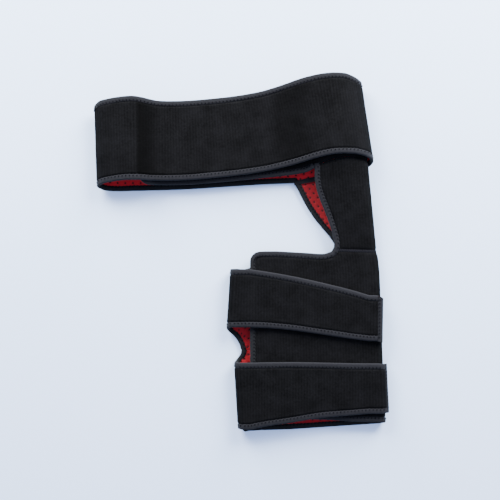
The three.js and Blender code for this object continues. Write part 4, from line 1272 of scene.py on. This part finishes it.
def red_lining(chosen, pile, holes):
    """The lining, with breathing holes, and with painted light: lighter by the noted share."""
    material, tree, shader = finish("red_perforated_lining", 0.8, 0.15, (1.0, 0.6, 0.6, 1.0))
    sizes = {"Row": chosen.hole_row, "Gap": chosen.hole_gap, "Radius": chosen.hole_radius}
    hole = shared(tree, holes, {"Flat": flat_place(tree), **sizes})
    grain = shared(tree, pile, {"Place": object_place(tree), "Grain": 1300.0})
    colour = tuple(chosen.lining_colour)
    share = spread(tree, grain["Shade"], 0.36, 0.64)
    cloth = mix_colour(tree, share, times(colour, 0.75), times(colour, 1.2))
    # Painted light: the lining is made lighter by the noted share, so its shaded parts look lit
    cloth = mix_colour(tree, noted(tree, "painted_light_and_shade"), cloth, times(colour, 2.6))
    rim = maths(tree, "MULTIPLY", hole["Rim"], 0.35)
    shaded = mix_colour(tree, rim, cloth, times(colour, 0.45))
    pierced = mix_colour(tree, hole["Hole"], shaded, (0.012, 0.002, 0.003, 1.0))
    tree.links.new(pierced, shader.inputs["Base Color"])
    height = maths(tree, "SUBTRACT", maths(tree, "MULTIPLY", grain["Height"], 0.25), hole["Rim"])
    bumped(tree, shader, height, 0.0008, 0.7)
    return material


def woven(name, colour, weave, along, across, roughness=0.82, depth=0.0004, reverse_and_shade=None):
    """A woven finish. The last argument is the colour of the tape's darker reverse, also used for painted
    shade on its face; the attribute of the argument's name marks where it goes.
    """
    material, tree, shader = finish(name, roughness, 0.04, (0.85, 0.9, 1.0, 1.0))
    cloth = shared(tree, weave, {"Flat": flat_place(tree), "Along": along, "Across": across})
    share = spread(tree, cloth["Shade"], 0.1, 0.75)
    face = mix_colour(tree, share, times(colour, 0.6), times(colour, 1.35))
    if reverse_and_shade:
        back = mix_colour(tree, share, times(reverse_and_shade, 0.6), times(reverse_and_shade, 1.35))
        face = mix_colour(tree, noted(tree, "reverse_and_shade"), face, back)
    tree.links.new(face, shader.inputs["Base Color"])
    bumped(tree, shader, cloth["Height"], depth, 0.7)
    return material


def thread(name, colour):
    """Sewing thread with a twist along it."""
    material, tree, shader = finish(name, 0.85, 0.0, specular=0.02)
    given = {"Vector": flat_place(tree), "Scale": 700.0, "Distortion": 0.4}
    share = node(tree, "ShaderNodeTexWave", given).outputs["Fac"]
    twisted = mix_colour(tree, share, times(colour, 0.6), times(colour, 1.3))
    tree.links.new(twisted, shader.inputs["Base Color"])
    bumped(tree, shader, share, 0.0001, 0.5)
    return material


class WrapSettings(bpy.types.PropertyGroup):
    """Sizes and colours that a user would change."""

    stitch_pitch: FloatProperty(
        name="Stitch pitch",
        description="Distance between stitches along the edge tape",
        default=0.0053,
        min=0.002,
        unit="LENGTH",
    )
    thread_thickness: FloatProperty(
        name="Thread",
        description="Thickness of the sewing thread",
        default=0.0013,
        min=0.0002,
        unit="LENGTH",
    )
    pile_grain: FloatProperty(
        name="Pile grain", description="Fineness of the brushed loops", default=900.0, min=50.0
    )
    rib_gap: FloatProperty(
        name="Rib gap",
        description="Distance between the pile's ribs",
        default=0.0042,
        min=0.0005,
        unit="LENGTH",
    )
    hole_row: FloatProperty(
        name="Hole rows", description="Distance between rows of holes", default=0.013, unit="LENGTH"
    )
    hole_gap: FloatProperty(
        name="Hole gap", description="Distance between holes in a row", default=0.0115, unit="LENGTH"
    )
    hole_radius: FloatProperty(
        name="Hole radius", description="Radius of a breathing hole", default=0.00125, unit="LENGTH"
    )
    shell_colour: FloatVectorProperty(
        name="Shell",
        description="Colour of the loop shell",
        default=(0.00205, 0.00205, 0.0023),
        min=0,
        max=1,
        subtype="COLOR",
    )
    lining_colour: FloatVectorProperty(
        name="Lining",
        description="Colour of the lining",
        default=(0.148, 0.0034, 0.0058),
        min=0,
        max=1,
        subtype="COLOR",
    )
    tape_colour: FloatVectorProperty(
        name="Edge tape",
        description="Colour of the edge tape",
        default=(0.006, 0.0059, 0.0074),
        min=0,
        max=1,
        subtype="COLOR",
    )
    # The tape's reverse colour is also painted as shade on the tape's face along the thigh panel's left edge
    tape_reverse_and_shade: FloatVectorProperty(
        name="Tape reverse",
        description="Colour of the edge tape's lining side",
        default=(0.0045, 0.0045, 0.0052),
        min=0,
        max=1,
        subtype="COLOR",
    )


# Shapes, edges and finishes that the operators share
WORK = {}


def settings():
    return bpy.context.scene.wrap_settings


class WRAP_OT_prepare(bpy.types.Operator):
    """Work out the shapes and finishes that the pieces share"""

    bl_idname = "wrap.prepare"
    bl_label = "Shapes and finishes"

    def execute(self, context):
        chosen = settings()
        WORK["shapes"] = Shapes()
        WORK["edges"] = WORK["shapes"].edges()
        pile, weave, holes = pile_effect(), weave_effect(), holes_effect()
        WORK["shell"] = loop_shell(chosen, pile)
        WORK["lining"] = red_lining(chosen, pile, holes)
        grey, reverse_and_shade, black = tuple(chosen.tape_colour), tuple(chosen.tape_reverse_and_shade), (0.003, 0.003, 0.004)
        WORK["tape"] = woven("grey_edge_tape", grey, weave, 0.0012, 0.0009, reverse_and_shade=reverse_and_shade)
        WORK["hook"] = woven("black_hook_tape", black, weave, 0.0016, 0.0016, 0.5, 0.0008)
        WORK["seam"] = woven("black_seam_tape", black, weave, 0.0009, 0.0011)
        WORK["thread"] = thread("black_thread", (0.0015, 0.0015, 0.002))
        WORK["seam_thread"] = thread("grey_thread", (0.012, 0.012, 0.015))
        return {"FINISHED"}


class WRAP_OT_belt(bpy.types.Operator):
    """Add the waist belt's padded shell and lining"""

    bl_idname = "wrap.belt"
    bl_label = "Waist belt"

    def execute(self, context):
        shapes = WORK["shapes"]
        belt = shapes.belt
        end = len(belt.grid) - 1.0

        def sewn_rim(a):
            inside = (a > shapes.hip_front) & (a < shapes.hip_back)
            passed = np.interp(a, np.arange(len(belt.places)), belt.places)
            short = np.clip(END_CORNER - passed, 0, END_CORNER - RIM)
            rounded = END_CORNER - np.sqrt(END_CORNER**2 - short**2)
            return np.where(inside, SEWN_RIM, RIM + rounded)

        a, b = strip_grid(belt, RIM, taped_rim, sewn_rim)
        bound = flat_line(
            belt,
            shapes.along(0.0, end, 0),
            shapes.along(0.0, shapes.hip_front, 1),
            shapes.along(shapes.hip_back, end, 1),
            shapes.rounded_end(belt),
            [(end, 0.0), (end, 1.0)],
        )
        sewn = flat_line(belt, shapes.along(shapes.hip_front, shapes.hip_back, 1))
        shell, lining = laminate("waist_belt", belt, a, b, bound, sewn, 0.4)
        # Painted shade and painted highlight on the outer front from the table, and painted light over the
        # whole belt lining
        outer = (a > shapes.left_turn) & (a < shapes.right_turn)
        x = (belt.at(a, b)[..., 0] + BELT_OVERHANG) / BELT_SPAN
        painted_light_and_shade = np.where(outer, column(PAINTED_BELT_LIGHT, x), 0.0).ravel()
        note(shell, "painted_light_and_shade", np.concatenate([painted_light_and_shade, painted_light_and_shade]))
        note(lining, "painted_light_and_shade", np.full(2 * a.size, 0.8))
        return {"FINISHED"}


class WRAP_OT_hip(bpy.types.Operator):
    """Add the hip panel's padded shell and lining"""

    bl_idname = "wrap.hip"
    bl_label = "Hip panel"

    def execute(self, context):
        shapes = WORK["shapes"]
        hip = shapes.hip
        columns, rows = hip.grid.shape[:2]
        lanes = PANEL_LANES * EDGE_SLANT
        found = []
        for u in hip.flat[:, :, 0].T:
            left = np.interp(u[0] + lanes, u, np.arange(columns))
            right = np.interp(u[-1] - lanes[::-1], u, np.arange(columns))
            middle = np.linspace(left[-1], right[0], HIP_COLUMNS)[1:-1]
            found.append(np.concatenate([left, middle, right]))
        a = np.array(found).T
        b = np.repeat(np.arange(rows, dtype=float)[None, :], a.shape[0], axis=0)
        bound = flat_line(hip, shapes.down(hip, 0), shapes.down(hip, columns - 1))
        sewn = flat_line(hip, *(shapes.along(0.0, columns - 1.0, row) for row in (0, rows - 1)))
        shell, lining = laminate("hip_panel", hip, a, b, bound, sewn, 1.3)
        for piece in (shell, lining):
            surface(hip, a, b)
        return {"FINISHED"}


class WRAP_OT_thigh(bpy.types.Operator):
    """Add the thigh panel's padded shell and lining"""

    bl_idname = "wrap.thigh"
    bl_label = "Thigh panel"

    def execute(self, context):
        shapes = WORK["shapes"]
        thigh = shapes.thigh
        columns, rows = thigh.grid.shape[:2]
        index = np.arange(columns)
        u = thigh.flat[:, rows // 2, 0]
        left = np.interp(u[0] + PANEL_LANES, u, index)
        inside = index[(index > left[-1] + 0.5)].astype(float)
        a = np.concatenate([left, inside])
        level = np.arange(rows, dtype=float)
        first = np.interp(RIM, thigh.flat[5, :, 1] - thigh.flat[5, 0, 1], level)
        b = np.concatenate([[first], level[(level > first + 0.3) & (level < rows - 2.0)], [rows - 2.0]])
        a, b = np.meshgrid(a, b, indexing="ij")
        sewn_column = (a[:, 0] >= shapes.corner) & (a[:, 0] <= shapes.back_corner)
        b[sewn_column, 0] = SEWN_ROW
        bound = flat_line(
            thigh,
            shapes.along(float(shapes.corner), 0.0, 0),
            shapes.down(thigh, 0),
            shapes.along(0.0, columns - 1.0, rows - 1),
            shapes.along(float(shapes.back_corner), columns - 1.0, 0),
        )
        sewn = flat_line(thigh, shapes.along(float(shapes.corner), float(shapes.back_corner), 0))
        shell, lining = laminate("thigh_panel", thigh, a, b, bound, sewn, 2.1)
        # Painted light: the thigh panel's lining is made a little lighter
        note(lining, "painted_light_and_shade", np.full(2 * a.size, 0.3))
        for piece in (shell, lining):
            surface(thigh, a, b)
        return {"FINISHED"}


class WRAP_OT_straps(bpy.types.Operator):
    """Add the two straps' padded shells and linings"""

    bl_idname = "wrap.straps"
    bl_label = "Straps"

    def execute(self, context):
        shapes = WORK["shapes"]
        for name, cloth, strap, corner, seed in (
            ("upper_strap", shapes.upper, UPPER_STRAP, shapes.upper_corner, 0.9),
            ("lower_strap", shapes.lower, LOWER_STRAP, shapes.lower_corner, 1.7),
        ):
            end = len(cloth.grid) - 1.0
            joint = strap["joint"]

            def joined(a, corner=corner):
                return np.where(a < corner, SEWN_RIM, RIM)

            top, bottom = (taped_rim, joined) if joint else (joined, taped_rim)
            a, b = strip_grid(cloth, ROOT_RIM, top, bottom)
            bound = flat_line(
                cloth,
                shapes.along(0.0, end, 1 - joint),
                shapes.along(corner, end, joint),
                [(end, 0.0), (end, 1.0)],
            )
            sewn = flat_line(cloth, shapes.along(0.0, corner, joint), [(0.0, 0.0), (0.0, 1.0)])
            shell, lining = laminate(name, cloth, a, b, bound, sewn, seed)
            # Painted light: the strap's lining is made a little lighter
            note(lining, "painted_light_and_shade", np.full(2 * a.size, 0.3))
            for piece in (shell, lining):
                surface(cloth, a, b)
        return {"FINISHED"}


class WRAP_OT_bindings(bpy.types.Operator):
    """Fold edge tape over every raw edge"""

    bl_idname = "wrap.bindings"
    bl_label = "Edge tape"

    def execute(self, context):
        for name, edge in WORK["edges"].items():
            shade = np.zeros(len(edge.line))
            # Painted shade: along the thigh panel's left edge the tape's face takes the darker reverse
            # colour
            if name == "front_edge_binding":
                left = eased((12.0 - edge.line[:, 0]) / 8.0)
                shade = left * eased((-edge.line[:, 1] - 5.0) / 10.0)
            tape(name, edge, WORK["tape"], settings().stitch_pitch / MM, shade)
        return {"FINISHED"}


class WRAP_OT_stitching(bpy.types.Operator):
    """Sew the edge tape with slanted stitches, and the hip seam with a cover stitch"""

    bl_idname = "wrap.stitching"
    bl_label = "Stitching"

    def execute(self, context):
        chosen = settings()
        pitch, thickness = chosen.stitch_pitch / MM, chosen.thread_thickness / MM
        for name, edge in WORK["edges"].items():
            runs = []
            for side, start in ((1, 0.0), (-1, pitch / 4)):
                near, far = ((reach, side * height) for reach, height in STITCH_ENDS)
                runs.append(bars(edge, pitch, near, far, start))
            stitches(name.replace("_binding", "_stitching"), runs, thickness, WORK["thread"])
        shapes = WORK["shapes"]
        columns, rows = shapes.hip.grid.shape[:2]
        seam = shapes.along(float(shapes.corner), float(shapes.back_corner), 0)
        low = Edge([(shapes.thigh, seam, -1)])
        high = Edge([(shapes.hip, shapes.along(0.0, columns - 1.0, rows - 1), 1)])
        share = high.passed[-1] / low.passed[-1]
        spots = np.arange(TAPE_REACH + 1, low.passed[-1] - TAPE_REACH - 3, SEAM_STITCH)
        turn = (np.arange(len(spots)) % 2 == 0)[:, None]
        runs = []
        for height in (1.35, -1.0):
            below = low.read(low.rail(SEAM_STITCH_REACH, height), spots)
            above = high.read(high.rail(SEAM_STITCH_REACH, height), spots * share)
            higher = low.read(low.rail(SEAM_STITCH_REACH, height + math.copysign(1, height)), spots)
            points = np.where(turn, below, above)
            runs.append((points[:-1], points[1:], (higher - below)[:-1]))
        stitches("hip_seam_stitching", runs, SEAM_THREAD, WORK["seam_thread"])
        return {"FINISHED"}


class WRAP_OT_patches(bpy.types.Operator):
    """Add the hook tape patches and the tape over the waist seam"""

    bl_idname = "wrap.patches"
    bl_label = "Hook and seam tape"

    def execute(self, context):
        shapes = WORK["shapes"]
        near = -(LINED_FACE + CLEARANCE)
        margin = TAPE_REACH + 3 * CLEARANCE
        along, across = np.arange(HOOK_GRID[0]), np.arange(HOOK_GRID[1])
        to_side = np.minimum(across, across[::-1])[None]
        to_edge = np.minimum(to_side, np.minimum(along, along[::-1])[:, None])
        thin = HOOK_THICKNESS * (0.55 + 0.45 * eased(to_edge / 1.5))
        for name, cloth in (
            ("belt_hook_tape", shapes.belt),
            ("upper_strap_hook_tape", shapes.upper),
            ("lower_strap_hook_tape", shapes.lower),
        ):
            stop = cloth.places[-1] - PAST_TAPE
            a = cloth.place(np.linspace(stop - HOOK_LENGTH, stop, len(along)))[:, None]
            width = np.interp(a, np.arange(len(cloth.grid)), cloth.flat[:, -1, 1])
            b = (margin + (width - 2 * margin) * across / across[-1]) / width
            slab(name, cloth, a, b, near - thin, np.full(thin.shape, near), WORK["hook"], name)
        belt = shapes.belt
        seam = Edge([(belt, shapes.along(shapes.fold_end, shapes.hip_back, 1), 1)])
        strip = Cloth(np.stack([seam.rail(reach, 0.0) for reach in SEAM_REACH], axis=1))
        index = np.arange(len(strip.grid), dtype=float)
        a, b = np.meshgrid(index, np.linspace(0, len(SEAM_REACH) - 1, 9), indexing="ij")
        low, high = np.full(a.shape, near - SEAM_TAPE_THICKNESS), np.full(a.shape, near)
        slab("waist_seam_tape", strip, a, b, low, high, WORK["seam"], "waist_seam_tape")
        return {"FINISHED"}


class WRAP_OT_stage(bpy.types.Operator):
    """Add the floor, the lights and the camera"""

    bl_idname = "wrap.stage"
    bl_label = "Stage"

    def execute(self, context):
        bpy.ops.object.select_all(action="DESELECT")
        bpy.ops.mesh.primitive_plane_add(size=FLOOR_SIZE, location=(0, 0, -FLOOR_GAP))
        floor = bpy.context.active_object
        floor.name = "floor"
        material, tree, shader = finish("pale_sheet", 0.7, 0.0)
        patches = noise(tree, object_place(tree), 3.0, 2.0)
        paper = mix_colour(tree, patches, (0.61, 0.76, 0.99, 1), (0.63, 0.78, 1.0, 1))
        tree.links.new(paper, shader.inputs["Base Color"])
        floor.data.materials.append(material)
        for name, place, power in SOFTBOXES:
            bpy.ops.object.light_add(type="AREA", location=place)
            light = bpy.context.active_object
            light.name = name
            light.data.shape = "SQUARE"
            light.data.size = SOFTBOX_SIZE
            light.data.energy = power
            x, y, z = place
            light.rotation_euler = (math.atan2(math.hypot(x, y), z), 0.0, math.atan2(-y, -x) - math.pi / 2)
        world = bpy.data.worlds.new("room")
        world.use_nodes = True
        background = world.node_tree.nodes["Background"]
        background.inputs["Color"].default_value = ROOM_COLOUR
        background.inputs["Strength"].default_value = ROOM_STRENGTH
        bpy.context.scene.world = world
        place = (SHIFT[0] * MM, SHIFT[1] * MM, CAMERA_HEIGHT)
        bpy.ops.object.camera_add(location=place, rotation=(0, 0, 0))
        camera = bpy.context.active_object
        camera.data.sensor_width = SENSOR_WIDTH
        camera.data.lens = CAMERA_LENS
        camera.data.clip_end = CAMERA_REACH
        bpy.context.scene.camera = camera
        return {"FINISHED"}


class WRAP_PT_panel(bpy.types.Panel):
    """Lists the pieces of the wrap"""

    bl_label = "Compression wrap"
    bl_idname = "WRAP_PT_panel"
    bl_space_type = "VIEW_3D"
    bl_region_type = "UI"
    bl_category = "Wrap"

    def draw(self, context):
        chosen = context.scene.wrap_settings
        for key in chosen.bl_rna.properties.keys():
            if key not in ("rna_type", "name"):
                self.layout.prop(chosen, key)
        for operator in PIECES:
            self.layout.operator(operator.bl_idname)


PIECES = (
    WRAP_OT_prepare,
    WRAP_OT_belt,
    WRAP_OT_hip,
    WRAP_OT_thigh,
    WRAP_OT_straps,
    WRAP_OT_bindings,
    WRAP_OT_stitching,
    WRAP_OT_patches,
    WRAP_OT_stage,
)


def register():
    bpy.utils.register_class(WrapSettings)
    for operator in PIECES:
        bpy.utils.register_class(operator)
    bpy.utils.register_class(WRAP_PT_panel)
    bpy.types.Scene.wrap_settings = PointerProperty(type=WrapSettings)


def unregister():
    del bpy.types.Scene.wrap_settings
    bpy.utils.unregister_class(WRAP_PT_panel)
    for operator in reversed(PIECES):
        bpy.utils.unregister_class(operator)
    bpy.utils.unregister_class(WrapSettings)


def main():
    register()
    bpy.ops.wrap.prepare()
    bpy.ops.wrap.belt()
    bpy.ops.wrap.hip()
    bpy.ops.wrap.thigh()
    bpy.ops.wrap.straps()
    bpy.ops.wrap.bindings()
    bpy.ops.wrap.stitching()
    bpy.ops.wrap.patches()
    bpy.ops.wrap.stage()


if __name__ == "__main__":
    main()
